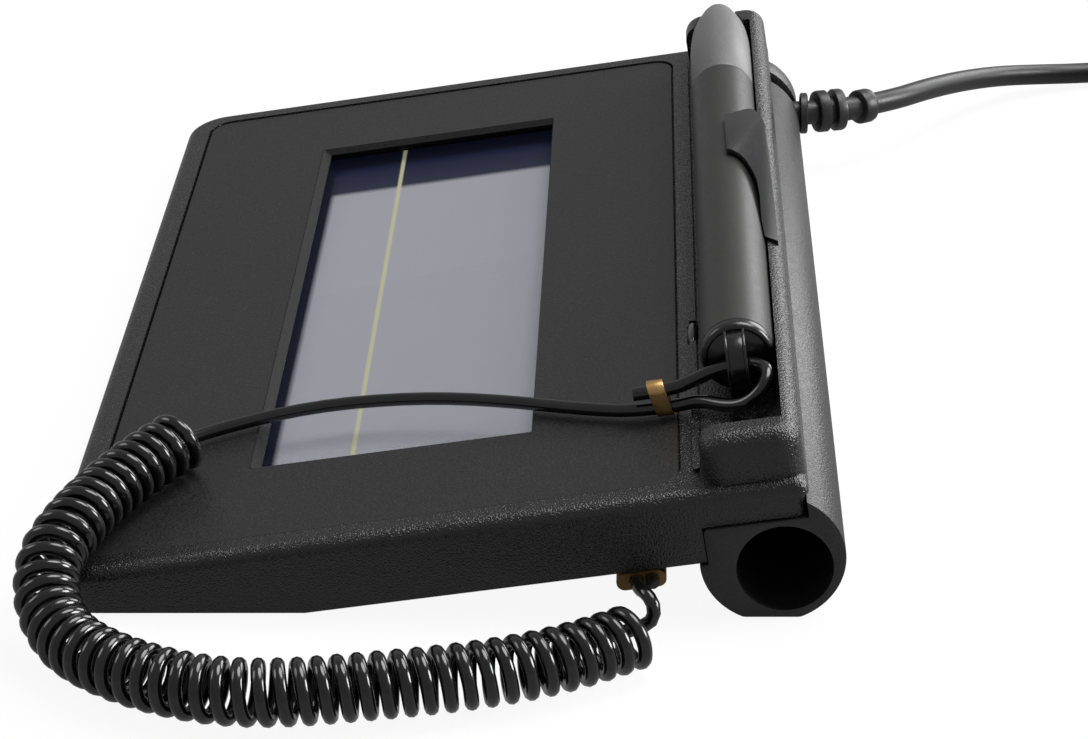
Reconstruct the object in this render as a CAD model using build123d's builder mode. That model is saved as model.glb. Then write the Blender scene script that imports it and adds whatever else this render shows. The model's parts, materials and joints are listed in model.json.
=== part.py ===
from build123d import *
import os
from math import cos, pi, radians, sin, sqrt, tan

# A counter-top signature pad. The origin is under the middle of the object, on the table.
# X runs along the pad towards its near end, Y towards its back edge, Z up. Millimetres.

# Whole pad
pad_length = 165.0
pad_depth = 112.0
deck_tilt = 8.26
deck_rise = 9.97
wall = 2.0
running = 0.3
over = 5.0
edge_round = 0.5
small_sides = 8

# Upper case
cover_thick = 2.4
cover_corner = 7.0
cover_round = 1.9
cover_short = 4.17
window_front_share = 0.2449
back_corner = 1.5
bed_margin = 4.1
bed_depth = 1.0
plate_thick = 0.8
plate_front_gap = 4.48
plate_back_gap = 17.25
plate_corner = 4.0
plate_bevel = 0.15
window_length_share = 0.70424
window_width_share = 0.37054
window_shift = -0.4
window_corner = 0.8
window_reveal = 0.4

# Pen tray on the upper case
tray_depth = 14.2
tray_height = 7.2
tray_end_gap = 1.5
tray_round = 2.8
tray_corner = 3.4
tray_floor = 0.6
hump_near = 4.5
hump_far = 7.0
lip_gap = 15.5
lip_width = 1.0
lip_height = 0.7
notch_wide = 4.5
notch_narrow = 3.0
lip_corner = 0.45

# Button on the tray's bead
button_line_share = 0.20727
button_gap = 15.0
button_length = 6.7
button_width = 1.6
button_sink = 0.5
button_height = 1.0
button_round = 0.4

# Lower case
step_gap = 15.2
step_height = 5.4
base_height = 10.9
base_back_gap = 0.6
front_break = 4.0
facet_start = 5.5
facet_rise = 0.4
facet_end = 8.5
rib_lines = (-40.0, 0.0, 40.0)
rib_thick = 1.6

# Pen
pen_radius = 5.35
pen_line_gap = 7.99
pen_height = 6.0
pen_tail_gap = 29.1
pen_joint_gap = 38.5
pen_shoulder_gap = 23.5
pen_taper_gap = 11.5
pen_taper_radius = 4.72
pen_waist_gap = 6.5
pen_waist_radius = 3.6
pen_neck_gap = 2.3
pen_neck_radius = 2.55
pen_tip_gap = 0.3
tip_radius = 1.6
nib_reach = 0.8
nib_radius = 0.9
nib_length = 14.0
pen_wall = 1.3
spigot_length = 9.0
nib_round_share = 0.5
cap_dome = 2.7
cap_round = 1.6
ring_width = 0.9
ring_depth = 0.35
lug_outer = 4.6
lug_hole = 3.2
lug_width = 3.0

# Pen clip
clip_low = 4.0
clip_top = 12.35
clip_outline = [
    (-19.1, 0.6),
    (-20.6, 4.5),
    (-17.5, 6.3),
    (-13.8, 7.0),
    (20.6, 7.2),
    (19.5, 5.0),
    (12.3, 5.1),
    (3.7, 5.1),
    (-0.3, 4.2),
    (-3.9, 3.0),
    (-5.2, 0.6),
]
clip_bend_near = (-3.9, 0.6)
clip_bend_far = (-13.8, 5.7)
clip_end = (20.6, 7.2)

# Rear tube
tube_gap = 6.18
tube_under = 11.45
tube_sink = 0.8
tube_wall = 3.4
bore_back = 1.7
bore_drop = 1.45
tube_proud = 0.5
tube_far_gap = 3.5
slot_width = 4.5
slot_far = 8.75
tube_screw_share = 0.34
tube_screw_gap = 2.1
tube_screw = 1.0
tube_screw_head = 1.9
tube_screw_head_thick = 0.9
tube_screw_pocket = 0.8
tube_screw_bite = 4.0

# Display and electronics
display_side = 7.8
display_edge = 5.0
gasket_thick = 0.4
gasket_margin = 1.0
touch_thick = 1.0
touch_ledge = 1.0
glass_thick = 1.4
backlight_thick = 1.2
frame_wall = 0.8
frame_floor = 0.25
fit = 0.1
ledge = 2.0
flex_thick = 0.3
board_far_gap = 9.5
board_near_gap = 32.5
board_gap = 2.0
board_depth = 10.5
board_under = -7.7
board_thick = 1.6
inner_wire = 1.2
wire_height = -5.4
wire_lift = 1.4
wire_hole_start = 4.0
wire_hole_length = 17.0
flex_line = 0.0
flex_width = 18.0
touch_flex_line = -30.0
touch_flex_width = 6.0
flex_reach = 2.7
connector_width = 2.2
header_length = 5.4
header_width = 4.0
header_height = 2.8
header_back = 8.5
board_holes = [(-65.0, 2.5), (-14.0, 8.0), (46.5, 3.5)]
board_post_radius = 2.4
board_screw = 0.9
board_screw_bite = 2.4
board_screw_head = 1.6
board_screw_head_thick = 0.9
chips = [
    (-45.0, 5.5, 7.0, 7.0, 1.0),
    (-54.5, 6.5, 5.0, 4.0, 0.9),
    (14.0, 7.0, 9.0, 5.0, 1.1),
    (26.0, 5.5, 5.0, 6.0, 1.0),
    (34.0, 7.0, 3.4, 2.6, 1.4),
    (-36.5, 7.5, 2.0, 1.3, 0.7),
    (-25.0, 8.0, 2.0, 1.3, 0.7),
    (20.5, 3.0, 2.0, 1.3, 0.7),
    (40.0, 4.5, 3.0, 1.7, 0.8),
]

# Fastenings and feet
screw_end_gap = 5.3
screw_front_end_gap = 8.5
screw_back = 2.5
screw_front = -9.0
cover_boss_radius = 2.6
cover_boss_length = 2.4
screw_shank = 1.4
screw_fit = 0.05
screw_bite = 2.8
screw_head = 2.4
screw_head_thick = 1.1
screw_seat = -6.5
base_boss_radius = 4.0
foot_radius = 5.0
foot_height = 1.2
foot_end_gap = 24.5
foot_front_gap = 20.0
anchor_end_gap = 7.5
anchor_gap = 24.59
anchor_shank = 1.1
anchor_head = 2.6
anchor_head_thick = 1.0
anchor_drop = 4.1
anchor_bite = 4.6
anchor_boss_radius = 3.0
anchor_boss_length = 3.4
socket_radius = 1.1
socket_depth = 0.6

# Cords
bend_share = 0.45
cord_sides = 5
curl_sides = 3
tether_wire = 2.0
curl_wire = 1.9
curl_radius = 3.7
curl_gap = 0.47
curl_pitch = 2.55
usb_wire = 4.0
usb_turn_pitch = 4.5
usb_turns = 11.25
usb_layers = 4
usb_outer_turn = 29.25
usb_first_rise = 2.9
coil_exit = 7.0
curl_exit = 3.5
usb_coil_line = -86.75
usb_coil_back = 152.0
tie_thick = 0.8
tie_width = 5.0
tie_room = 1.3

# Ferrules on the tether, by their length, width and height
pad_ferrule_size = (3.8, 7.0, 2.6)
pad_ferrule_reach = 5.9
pad_ferrule_drop = 1.35
strand_apart = 2.24
strand_shift = 0.42
pen_ferrule_size = (2.6, 3.6, 5.0)
pen_ferrule_gap = 24.0
pen_ferrule_back = 19.9
pen_ferrule_height = 2.65
ferrule_strand = 1.35

# The curly cord's axis on the table, from its first curl to its last
curl_axis_points = [
    (55.4, -39.2, 13.3),
    (59.8, -43.3, 12.7),
    (65.6, -46.9, 12.1),
    (71.5, -49.9, 11.7),
    (77.4, -51.9, 11.5),
    (83.5, -54.2, 10.1),
    (89.5, -54.0, 7.0),
    (94.8, -51.1, 4.9),
    (98.9, -47.7, 4.7),
    (102.5, -43.1, 4.7),
    (105.6, -37.6, 4.7),
    (107.8, -32.0, 4.7),
    (109.1, -26.0, 4.7),
    (109.2, -18.7, 4.7),
    (107.9, -10.0, 4.7),
    (106.5, -1.4, 4.7),
    (104.8, 6.5, 4.7),
    (102.3, 14.4, 4.7),
    (98.9, 21.4, 4.7),
    (95.3, 26.9, 4.7),
]

# The lead from the pen's ferrule to the first curl, as points on the deck
lead_route = [
    (58.5, 60.5, 1.3),
    (58.5, 56.9, 1.3),
    (56.9, 52.0, 1.3),
    (54.3, 46.2, 1.3),
    (51.2, 39.8, 1.3),
    (48.3, 33.0, 1.3),
    (45.9, 25.6, 1.3),
    (44.5, 17.8, 1.3),
    (44.0, 10.0, 1.3),
    (44.8, 2.8, 1.3),
    (46.3, -3.0, 1.3),
    (47.8, -7.6, 1.3),
    (49.8, -11.6, 1.3),
]

# The loop through the pen's lug, from the ferrule's middle and back through it, on the deck
loop_route = [
    (58.5, 60.5, 1.3),
    (58.5, 62.9, 1.3),
    (59.3, 66.4, 2.1),
    (62.0, 70.0, 2.1),
    (64.0, 73.0, 3.0),
    (63.6, 75.6, 4.8),
    (61.2, 76.8, 6.1),
    (58.6, 75.6, 6.2),
    (57.65, 72.4, 6.1),
    (57.6, 69.0, 5.7),
    (58.0, 65.9, 4.8),
    (58.5, 62.9, 4.0),
    (58.5, 57.0, 4.0),
]

# The turn round the anchor screw, as distances from the screw, and then the drop to the table
anchor_turn = [
    (8.9, 1.54),
    (2.0, 1.54),
    (0, 2.75),
    (-2.38, 1.38),
    (-2.38, -1.38),
    (0, -2.75),
    (2.4, -0.7),
]
drop_route = [
    (84.6, 27.1, 5.77),
    (87.2, 28.2, 6.9),
    (89.2, 29.6, 5.9),
    (90.0, 29.4, 3.6),
    (89.0, 26.9, 1.9),
    (89.2, 24.4, 1.15),
    (90.6, 23.7, 1.0),
]

# The ribbed strain relief, and the cable from it to the put-away coil, on the table
relief_core = 2.2
relief_route = [(-71.5, 54.5, 10.95), (-71.5, 57.4, 10.95), (-73.9, 64.1, 10.6), (-75.5, 67.8, 10.5)]
relief_rings = [
    ((-71.5, 56.2, 10.95), (0, 1, 0), 3.7, 1.4),
    ((-72.5, 59.0, 10.8), (-0.3, 0.95, -0.03), 3.8, 5.3),
    ((-74.69, 66.74, 10.7), (-0.595, 0.8, -0.078), 3.1, 3.2),
]
cable_route = [
    (-76.6, 69.3, 10.5),
    (-80.4, 74.4, 10.0),
    (-87.5, 80.2, 8.9),
    (-96.1, 87.4, 7.0),
    (-104.0, 95.4, 4.8),
    (-108.6, 103.2, 3.2),
    (-111.4, 111.3, 2.2),
    (-113.2, 122.0, 2.05),
    (-115.2, 133.0, 2.3),
]
tail_route = [
    (-71.0, 180.5, 12.0),
    (-60.0, 178.0, 7.0),
    (-50.0, 172.5, 4.6),
    (-45.0, 165.5, 4.5),
]

# The cable's plug, by its width, length and height
plug_end = (-45.0, 159.5, 4.5)
grip_size = (15.5, 19.0, 8.0)
grip_corner = 2.0
shell_size = (12.0, 18.75, 4.5)
shell_wall = 0.4
tongue_size = (11.0, 15.0, 1.9)
tongue_lift = 0.9

sin_tilt = sin(radians(deck_tilt))
cos_tilt = cos(radians(deck_tilt))
half_length = pad_length / 2
half_depth = pad_depth / 2
window_length = pad_length * window_length_share
window_width = pad_depth * window_width_share
front_line = -pad_depth * window_front_share
deck_back = -half_depth - front_line * cos_tilt - cover_thick * sin_tilt
cover_depth = pad_depth - cover_short
cover_back = front_line + cover_depth

# The deck is the tilted top plane of the pad. In it, x is along the pad, y is the distance
# back from the window's front edge, and z is the height above the deck.
deck = Plane(origin=(0, deck_back, deck_rise), x_dir=(1, 0, 0), z_dir=(0, -sin_tilt, cos_tilt))


def on_deck(x, back, height):
    """A point given along the pad, back from the window's front edge and above the deck."""
    return deck.from_local_coords(Vector(x, back, height))


def deck_of(y, z):
    """The deck's back and height of a point given by its place on the table and its rise."""
    place = deck.to_local_coords(Vector(0, y, z))
    return (place.Y, place.Z)


def side_at(x):
    """A plane across the pad at x, whose axes are back and height."""
    return Plane(origin=on_deck(x, 0, 0), x_dir=deck.y_dir, z_dir=(1, 0, 0))


def lengthwise_at(back):
    """A plane along the pad, whose axes are x and height, facing the front."""
    return Plane(origin=on_deck(0, back, 0), x_dir=(1, 0, 0), z_dir=-deck.y_dir)


def table_side_at(x):
    """A plane across the pad at x, whose axes are the table's Y and Z."""
    return Plane(origin=(x, 0, 0), x_dir=(0, 1, 0), z_dir=(1, 0, 0))


def save(piece, name):
    """Names a finished piece and writes it to its own file."""
    piece.label = name
    export_step(piece, "parts/" + name + ".step")


os.makedirs("parts", exist_ok=True)

# Heights of the layers under the cover
cover_under = -cover_thick
gasket_under = cover_under - gasket_thick
touch_under = gasket_under - touch_thick
glass_under = touch_under - glass_thick
backlight_under = glass_under - backlight_thick
frame_under = backlight_under - frame_floor
board_top = board_under + board_thick
boss_top = cover_under - cover_boss_length

# Places from the front to the back, on the deck
plate_front = front_line + plate_front_gap
plate_back = cover_back - plate_back_gap
lip_front = cover_back - lip_gap
button_back = cover_back - button_gap
tray_front = cover_back - tray_depth
pen_line = cover_back - pen_line_gap
step_line = cover_back - step_gap
base_back = cover_back - base_back_gap
display_front = -display_edge
display_back = window_width + display_edge
board_front = display_back + board_gap
board_back = board_front + board_depth
anchor_back = cover_back - anchor_gap
tube_screw_back = step_line + tube_screw_gap

# Places along the pad
display_far = window_shift - window_length / 2 - display_side
display_near = window_shift + window_length / 2 + display_side
button_line = pad_length * button_line_share
board_far = board_far_gap - half_length
board_near = half_length - board_near_gap
wire_line = slot_far + slot_width / 2 - half_length
anchor_line = half_length - anchor_end_gap
foot_line = half_length - foot_end_gap
foot_back = foot_front_gap - half_depth
pen_tip = pen_tip_gap - half_length
pen_neck = pen_neck_gap - half_length
pen_waist = pen_waist_gap - half_length
pen_taper = pen_taper_gap - half_length
pen_shoulder = pen_shoulder_gap - half_length
pen_joint = pen_joint_gap - half_length
pen_tail = half_length - pen_tail_gap
screw_end = half_length - screw_end_gap
screw_front_end = half_length - screw_front_end_gap
screw_places = [
    (-screw_end, window_width + screw_back),
    (screw_end, window_width + screw_back),
    (-screw_front_end, screw_front),
    (screw_front_end, screw_front),
]
board_posts = [(line, board_front + back) for line, back in board_holes]
tube_screw_lines = [share * pad_length for share in (-tube_screw_share, 0, tube_screw_share)]
clip_plan = [(line, pen_line + back) for line, back in clip_outline]

# The tube stands on the table and ends at the back of the whole pad
tube_rise = on_deck(0, cover_back - tube_gap, -tube_under).Z
tube_radius = tube_rise + tube_sink
tube_back = half_depth - tube_radius
bore_radius = tube_radius - tube_wall
channel_radius = pen_radius + running

tray_half = half_length - tray_end_gap
channel_near = tray_half - hump_near
channel_far = hump_far - tray_half
tray_floor_half = sqrt(channel_radius**2 - (pen_height - tray_floor) ** 2)
back_axis = Axis((0, 0, 0), deck.y_dir)
up_axis = Axis((0, 0, 0), deck.z_dir)
pen_axis = Axis(on_deck(0, pen_line, pen_height), (1, 0, 0))


def round_box(far, near, front, back, corner):
    """A rounded rectangle on the deck between four edges."""
    with Locations(((far + near) / 2, (front + back) / 2)):
        RectangleRounded(near - far, back - front, corner)


def box_on_deck(far, near, front, back, low, high):
    """A plain block standing square to the deck."""
    with Locations(deck.location):
        with Locations(((far + near) / 2, (front + back) / 2, (low + high) / 2)):
            Box(near - far, back - front, high - low)


def window_outline(side, edge, corner):
    """A rounded rectangle round the window, larger by a margin at its ends and edges."""
    with Locations((window_shift, window_width / 2)):
        RectangleRounded(window_length + 2 * side, window_width + 2 * edge, corner)


with BuildPart() as top_cover:
    with BuildSketch(deck.offset(cover_under)) as slab:
        with Locations((0, (front_line + cover_back) / 2)):
            Rectangle(pad_length, cover_depth)
        fillet(slab.vertices().group_by(Axis.Y)[0], cover_corner)
        fillet(slab.vertices().group_by(Axis.Y)[-1], back_corner)
    extrude(amount=cover_thick)
    top_edges = top_cover.faces().sort_by(up_axis)[-1].edges().sort_by(back_axis)
    fillet(top_edges[:-3], cover_round)
    # The raised border of the pen tray
    with BuildSketch(deck.offset(cover_under)):
        round_box(-tray_half, tray_half, tray_front, cover_back, tray_corner)
    extrude(amount=cover_thick + tray_height)
    fillet(top_cover.faces().sort_by(up_axis)[-1].edges(), tray_round)
    # The open channel that the pen lies in
    with BuildSketch(side_at(channel_far)):
        with BuildLine():
            channel_start = (pen_line - tray_floor_half, tray_floor)
            channel_end = (pen_line + channel_radius, pen_height)
            open_front = tray_front - over
            open_top = tray_height + over
            Polyline((open_front, open_top), (open_front, tray_floor), channel_start)
            ThreePointArc(
                channel_start,
                (
                    pen_line + channel_radius * sin(radians(45)),
                    pen_height - channel_radius * cos(radians(45)),
                ),
                channel_end,
            )
            Polyline(channel_end, (pen_line + channel_radius, open_top), (open_front, open_top))
        make_face()
    extrude(amount=channel_near - channel_far, mode=Mode.SUBTRACT)
    # The far hump's rest follows the nose's outline, so that the pen lifts straight out
    with BuildSketch(lengthwise_at(pen_line)):
        with BuildLine():
            Polyline(
                (channel_far + over, pen_height),
                (channel_far + over, pen_height + notch_wide),
                (channel_far, pen_height + notch_wide),
                (pen_neck, pen_height + notch_narrow),
                (-tray_half - over, pen_height + notch_narrow),
                (-tray_half - over, pen_height),
                close=True,
            )
        make_face()
    revolve(axis=pen_axis, mode=Mode.SUBTRACT)
    with BuildSketch(deck.offset(pen_height)):
        with BuildLine():
            Polyline(
                (channel_far + over, pen_line - notch_wide),
                (channel_far, pen_line - notch_wide),
                (pen_neck, pen_line - notch_narrow),
                (-tray_half - over, pen_line - notch_narrow),
                (-tray_half - over, pen_line + notch_narrow),
                (pen_neck, pen_line + notch_narrow),
                (channel_far, pen_line + notch_wide),
                (channel_far + over, pen_line + notch_wide),
                close=True,
            )
        make_face()
    extrude(amount=tray_height, mode=Mode.SUBTRACT)
    # The low bead along the front of the tray, with a pocket for the button
    with BuildSketch(deck.offset(-edge_round)):
        round_box(channel_far, channel_near, lip_front, lip_front + lip_width, lip_corner)
    extrude(amount=lip_height + edge_round)
    with BuildSketch(deck.offset(-button_sink)):
        with Locations((button_line, button_back)):
            SlotOverall(button_length + 2 * fit, button_width + 2 * fit)
    extrude(amount=over, mode=Mode.SUBTRACT)
    # The bed of the face plate, and the window through it
    with BuildSketch(deck):
        bed_half = half_length - bed_margin
        round_box(-bed_half, bed_half, plate_front, plate_back, plate_corner)
    extrude(amount=-bed_depth, mode=Mode.SUBTRACT)
    with BuildSketch(deck.offset(over)):
        window_outline(window_reveal, window_reveal, window_corner)
    extrude(amount=-2 * over, mode=Mode.SUBTRACT)
    # Screw bosses under the cover, with blind holes
    with BuildSketch(deck.offset(boss_top)):
        with Locations(screw_places):
            RegularPolygon(cover_boss_radius, small_sides)
    extrude(amount=cover_boss_length)
    with BuildSketch(deck.offset(boss_top)):
        with Locations(screw_places):
            RegularPolygon(screw_shank + screw_fit, small_sides)
    extrude(amount=screw_bite + fit, mode=Mode.SUBTRACT)
save(top_cover.part, "top_cover")

with BuildPart() as lip_button:
    with BuildSketch(deck.offset(-button_sink)):
        with Locations((button_line, button_back)):
            SlotOverall(button_length, button_width)
    extrude(amount=button_sink + button_height)
    chamfer(lip_button.faces().sort_by(up_axis)[-1].edges(), button_round)
save(lip_button.part, "lip_button")

with BuildPart() as overlay_plate:
    with BuildSketch(deck.offset(-bed_depth)):
        plate_half = bed_half - running
        plate_edge = plate_corner - running
        round_box(-plate_half, plate_half, plate_front + running, plate_back - running, plate_edge)
        with Locations((window_shift, window_width / 2)):
            Rectangle(window_length, window_width, mode=Mode.SUBTRACT)
    extrude(amount=plate_thick)
    chamfer(overlay_plate.faces().sort_by(up_axis)[-1].edges(), plate_bevel)
save(overlay_plate.part, "overlay_plate")


def base_outline(top):
    """The side view of the lower case, up to a given height, as points of back and height."""
    return [
        (front_line, top),
        (front_line, -front_break),
        deck_of(facet_start - half_depth, facet_rise),
        (facet_end, -base_height),
        (step_line, -base_height),
        (step_line, -step_height),
        (base_back, -step_height),
        (base_back, top),
    ]


def base_plan(inset):
    """The plan of the lower case drawn in by an inset, with larger corners at the front."""
    middle = (front_line + base_back) / 2
    with Locations((0, middle)):
        Rectangle(pad_length - 2 * inset, base_back - front_line - 2 * inset)


with BuildPart() as base_block:
    with BuildSketch(side_at(-half_length)):
        with BuildLine():
            Polyline(*base_outline(cover_under), close=True)
        make_face()
    extrude(amount=pad_length)
    with BuildSketch(deck.offset(-2 * base_height)) as block_plan:
        base_plan(0)
        fillet(block_plan.vertices().group_by(Axis.Y)[0], cover_corner)
        fillet(block_plan.vertices().group_by(Axis.Y)[-1], back_corner)
    extrude(amount=3 * base_height, mode=Mode.INTERSECT)

with BuildPart() as base_room:
    with BuildSketch(side_at(-half_length)):
        with BuildLine():
            Polyline(*base_outline(cover_under + over), close=True)
        make_face()
        offset(amount=-wall, kind=Kind.INTERSECTION, mode=Mode.REPLACE)
    extrude(amount=pad_length)
    with BuildSketch(deck.offset(-2 * base_height)) as room_plan:
        base_plan(wall)
        fillet(room_plan.vertices().group_by(Axis.Y)[0], cover_corner - wall)
        fillet(room_plan.vertices().group_by(Axis.Y)[-1], edge_round)
    extrude(amount=3 * base_height, mode=Mode.INTERSECT)

with BuildPart() as base_posts:
    with BuildSketch(deck.offset(-base_height - over)):
        with Locations(screw_places):
            RegularPolygon(base_boss_radius, small_sides)
    extrude(amount=boss_top + base_height + over)
    with BuildSketch(deck.offset(-base_height - over)):
        with Locations(board_posts):
            RegularPolygon(board_post_radius, small_sides)
    extrude(amount=board_under + base_height + over)
    with BuildSketch(deck.offset(-base_height - over)):
        with Locations((anchor_line, anchor_back)):
            RegularPolygon(anchor_boss_radius, small_sides)
    extrude(amount=over + anchor_boss_length + wall)
    with BuildSketch(deck.offset(-base_height - over)):
        rib_back = window_width + display_edge - frame_wall
        with Locations([(rib, (rib_back - display_edge) / 2) for rib in rib_lines]):
            Rectangle(rib_thick, rib_back + display_edge - 2 * frame_wall)
    extrude(amount=frame_under + base_height + over)
    add(base_block.part, mode=Mode.INTERSECT)

wire_hole_plane = Plane(
    origin=on_deck(wire_line, step_line - wire_hole_start, wire_height),
    x_dir=(1, 0, 0),
    z_dir=deck.y_dir,
)

with BuildPart() as base:
    add(base_block.part)
    add(base_room.part, mode=Mode.SUBTRACT)
    add(base_posts.part)
    # Screw holes from below
    with BuildSketch(deck.offset(-base_height - over)):
        with Locations(screw_places):
            RegularPolygon(screw_head + running, small_sides)
    extrude(amount=screw_seat + base_height + over, mode=Mode.SUBTRACT)
    with BuildSketch(deck.offset(screw_seat)):
        with Locations(screw_places):
            RegularPolygon(screw_shank + fit, small_sides)
    extrude(amount=over, mode=Mode.SUBTRACT)
    with BuildSketch(deck.offset(-base_height - over)):
        with Locations((anchor_line, anchor_back)):
            RegularPolygon(anchor_shank + screw_fit, small_sides)
    extrude(amount=over + anchor_bite + fit, mode=Mode.SUBTRACT)
    with BuildSketch(deck.offset(board_under)):
        with Locations(board_posts):
            RegularPolygon(board_screw + screw_fit, small_sides)
    extrude(amount=-board_screw_bite - fit, mode=Mode.SUBTRACT)
    # Screws down into the tube, with pockets for their heads
    with BuildSketch(deck.offset(wall - step_height - tube_screw_pocket)):
        with Locations([(line, tube_screw_back) for line in tube_screw_lines]):
            RegularPolygon(tube_screw_head + fit, small_sides)
    extrude(amount=over, mode=Mode.SUBTRACT)
    with BuildSketch(deck.offset(-step_height - over)):
        with Locations([(line, tube_screw_back) for line in tube_screw_lines]):
            RegularPolygon(tube_screw + screw_fit, small_sides)
    extrude(amount=2 * over, mode=Mode.SUBTRACT)
    # Recesses for the feet
    with BuildSketch(Plane.XY):
        with Locations((-foot_line, foot_back), (foot_line, foot_back)):
            Circle(foot_radius + fit)
    extrude(amount=foot_height, mode=Mode.SUBTRACT)
    # The way through for the inner wires
    with BuildSketch(wire_hole_plane):
        RegularPolygon(inner_wire / 2 + fit, small_sides)
    extrude(amount=wire_hole_length, mode=Mode.SUBTRACT)
save(base.part, "base")

with BuildPart() as window_gasket:
    with BuildSketch(deck.offset(gasket_under)):
        window_outline(display_side, display_edge, window_corner)
        with Locations((window_shift, window_width / 2)):
            Rectangle(
                window_length + 2 * (window_reveal + gasket_margin),
                window_width + 2 * (window_reveal + gasket_margin),
                mode=Mode.SUBTRACT,
            )
    extrude(amount=gasket_thick)
save(window_gasket.part, "window_gasket")

with BuildPart() as touch_panel:
    box_on_deck(
        display_far, display_near, display_front, display_back + touch_ledge, touch_under, gasket_under
    )
save(touch_panel.part, "touch_panel")

inside = frame_wall + fit
with BuildPart() as lcd_glass:
    box_on_deck(
        display_far + inside,
        display_near - inside,
        display_front + inside,
        display_back - inside,
        glass_under,
        touch_under,
    )
save(lcd_glass.part, "lcd_glass")

with BuildPart() as backlight:
    box_on_deck(
        display_far + inside,
        display_near - inside,
        display_front + inside,
        display_back - inside - ledge,
        backlight_under,
        glass_under,
    )
save(backlight.part, "backlight")

with BuildPart() as lcd_frame:
    box_on_deck(display_far, display_near, display_front, display_back, frame_under, touch_under)
    with BuildSketch(deck.offset(backlight_under)):
        with Locations((window_shift, window_width / 2)):
            Rectangle(
                window_length + 2 * (display_side - frame_wall),
                window_width + 2 * (display_edge - frame_wall),
            )
    extrude(amount=over, mode=Mode.SUBTRACT)
    with BuildSketch(deck.offset(glass_under - 2 * flex_thick)):
        with Locations((flex_line, display_back)):
            Rectangle(flex_width + 2 * running, 2 * frame_wall + fit)
    extrude(amount=over, mode=Mode.SUBTRACT)
save(lcd_frame.part, "lcd_frame")

with BuildPart() as lcd_flex:
    box_on_deck(
        flex_line - flex_width / 2,
        flex_line + flex_width / 2,
        display_back - inside - ledge + 2 * fit,
        board_front + flex_reach,
        glass_under - flex_thick,
        glass_under,
    )
save(lcd_flex.part, "lcd_flex")

with BuildPart() as touch_flex:
    box_on_deck(
        touch_flex_line - touch_flex_width / 2,
        touch_flex_line + touch_flex_width / 2,
        display_back + fit,
        board_front + flex_reach,
        touch_under - flex_thick,
        touch_under,
    )
save(touch_flex.part, "touch_flex")

with BuildPart() as main_board:
    with BuildSketch(deck.offset(board_under)):
        round_box(board_far, board_near, board_front, board_back, edge_round)
        with Locations(board_posts):
            RegularPolygon(board_screw + fit, small_sides, mode=Mode.SUBTRACT)
    extrude(amount=board_thick)
save(main_board.part, "main_board")

with BuildPart() as board_chips:
    for chip_line, chip_back, chip_length, chip_width, chip_height in chips:
        box_on_deck(
            chip_line - chip_length / 2,
            chip_line + chip_length / 2,
            board_front + chip_back - chip_width / 2,
            board_front + chip_back + chip_width / 2,
            board_top,
            board_top + chip_height,
        )
    connector_back = board_front + flex_reach
    box_on_deck(
        flex_line - flex_width / 2 - running,
        flex_line + flex_width / 2 + running,
        connector_back - connector_width,
        connector_back + running,
        board_top,
        glass_under - flex_thick,
    )
    box_on_deck(
        touch_flex_line - touch_flex_width / 2 - running,
        touch_flex_line + touch_flex_width / 2 + running,
        connector_back - connector_width,
        connector_back + running,
        board_top,
        touch_under - flex_thick,
    )
save(board_chips.part, "board_chips")

with BuildPart() as cable_header:
    box_on_deck(
        wire_line - header_length / 4,
        wire_line + 3 * header_length / 4,
        board_front + header_back - header_width,
        board_front + header_back,
        board_top,
        board_top + header_height,
    )
save(cable_header.part, "cable_header")

with BuildPart() as board_screws:
    with BuildSketch(deck.offset(board_under - board_screw_bite)):
        with Locations(board_posts):
            RegularPolygon(board_screw, small_sides)
    extrude(amount=board_thick + board_screw_bite)
    with BuildSketch(deck.offset(board_top)):
        with Locations(board_posts):
            RegularPolygon(board_screw_head, small_sides)
    extrude(amount=board_screw_head_thick)
save(board_screws.part, "board_screws")

with BuildPart() as case_screws:
    with BuildSketch(deck.offset(screw_seat)):
        with Locations(screw_places):
            RegularPolygon(screw_shank, small_sides)
    extrude(amount=boss_top - screw_seat + screw_bite)
    with BuildSketch(deck.offset(screw_seat - screw_head_thick)):
        with Locations(screw_places):
            RegularPolygon(screw_head, small_sides)
    extrude(amount=screw_head_thick)
    with BuildSketch(deck.offset(screw_seat - screw_head_thick)):
        with Locations(screw_places):
            RegularPolygon(socket_radius, 6)
    extrude(amount=socket_depth, mode=Mode.SUBTRACT)
save(case_screws.part, "case_screws")

with BuildPart() as rubber_feet:
    with BuildSketch(Plane.XY):
        with Locations((-foot_line, foot_back), (foot_line, foot_back)):
            Circle(foot_radius)
    extrude(amount=foot_height)
    chamfer(rubber_feet.faces().group_by(Axis.Z)[0].edges(), fit)
save(rubber_feet.part, "rubber_feet")

with BuildPart() as anchor_screw:
    with BuildSketch(deck.offset(-base_height - anchor_drop)):
        with Locations((anchor_line, anchor_back)):
            Circle(anchor_head)
    extrude(amount=anchor_head_thick)
    with BuildSketch(deck.offset(-base_height - anchor_drop)):
        with Locations((anchor_line, anchor_back)):
            RegularPolygon(anchor_shank, small_sides)
    extrude(amount=anchor_drop + anchor_bite)
    with BuildSketch(deck.offset(-base_height - anchor_drop)):
        with Locations((anchor_line, anchor_back)):
            RegularPolygon(socket_radius, 6)
    extrude(amount=socket_depth, mode=Mode.SUBTRACT)
save(anchor_screw.part, "anchor_screw")

bore_line = tube_back + bore_back
bore_rise = tube_rise - bore_drop

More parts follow.
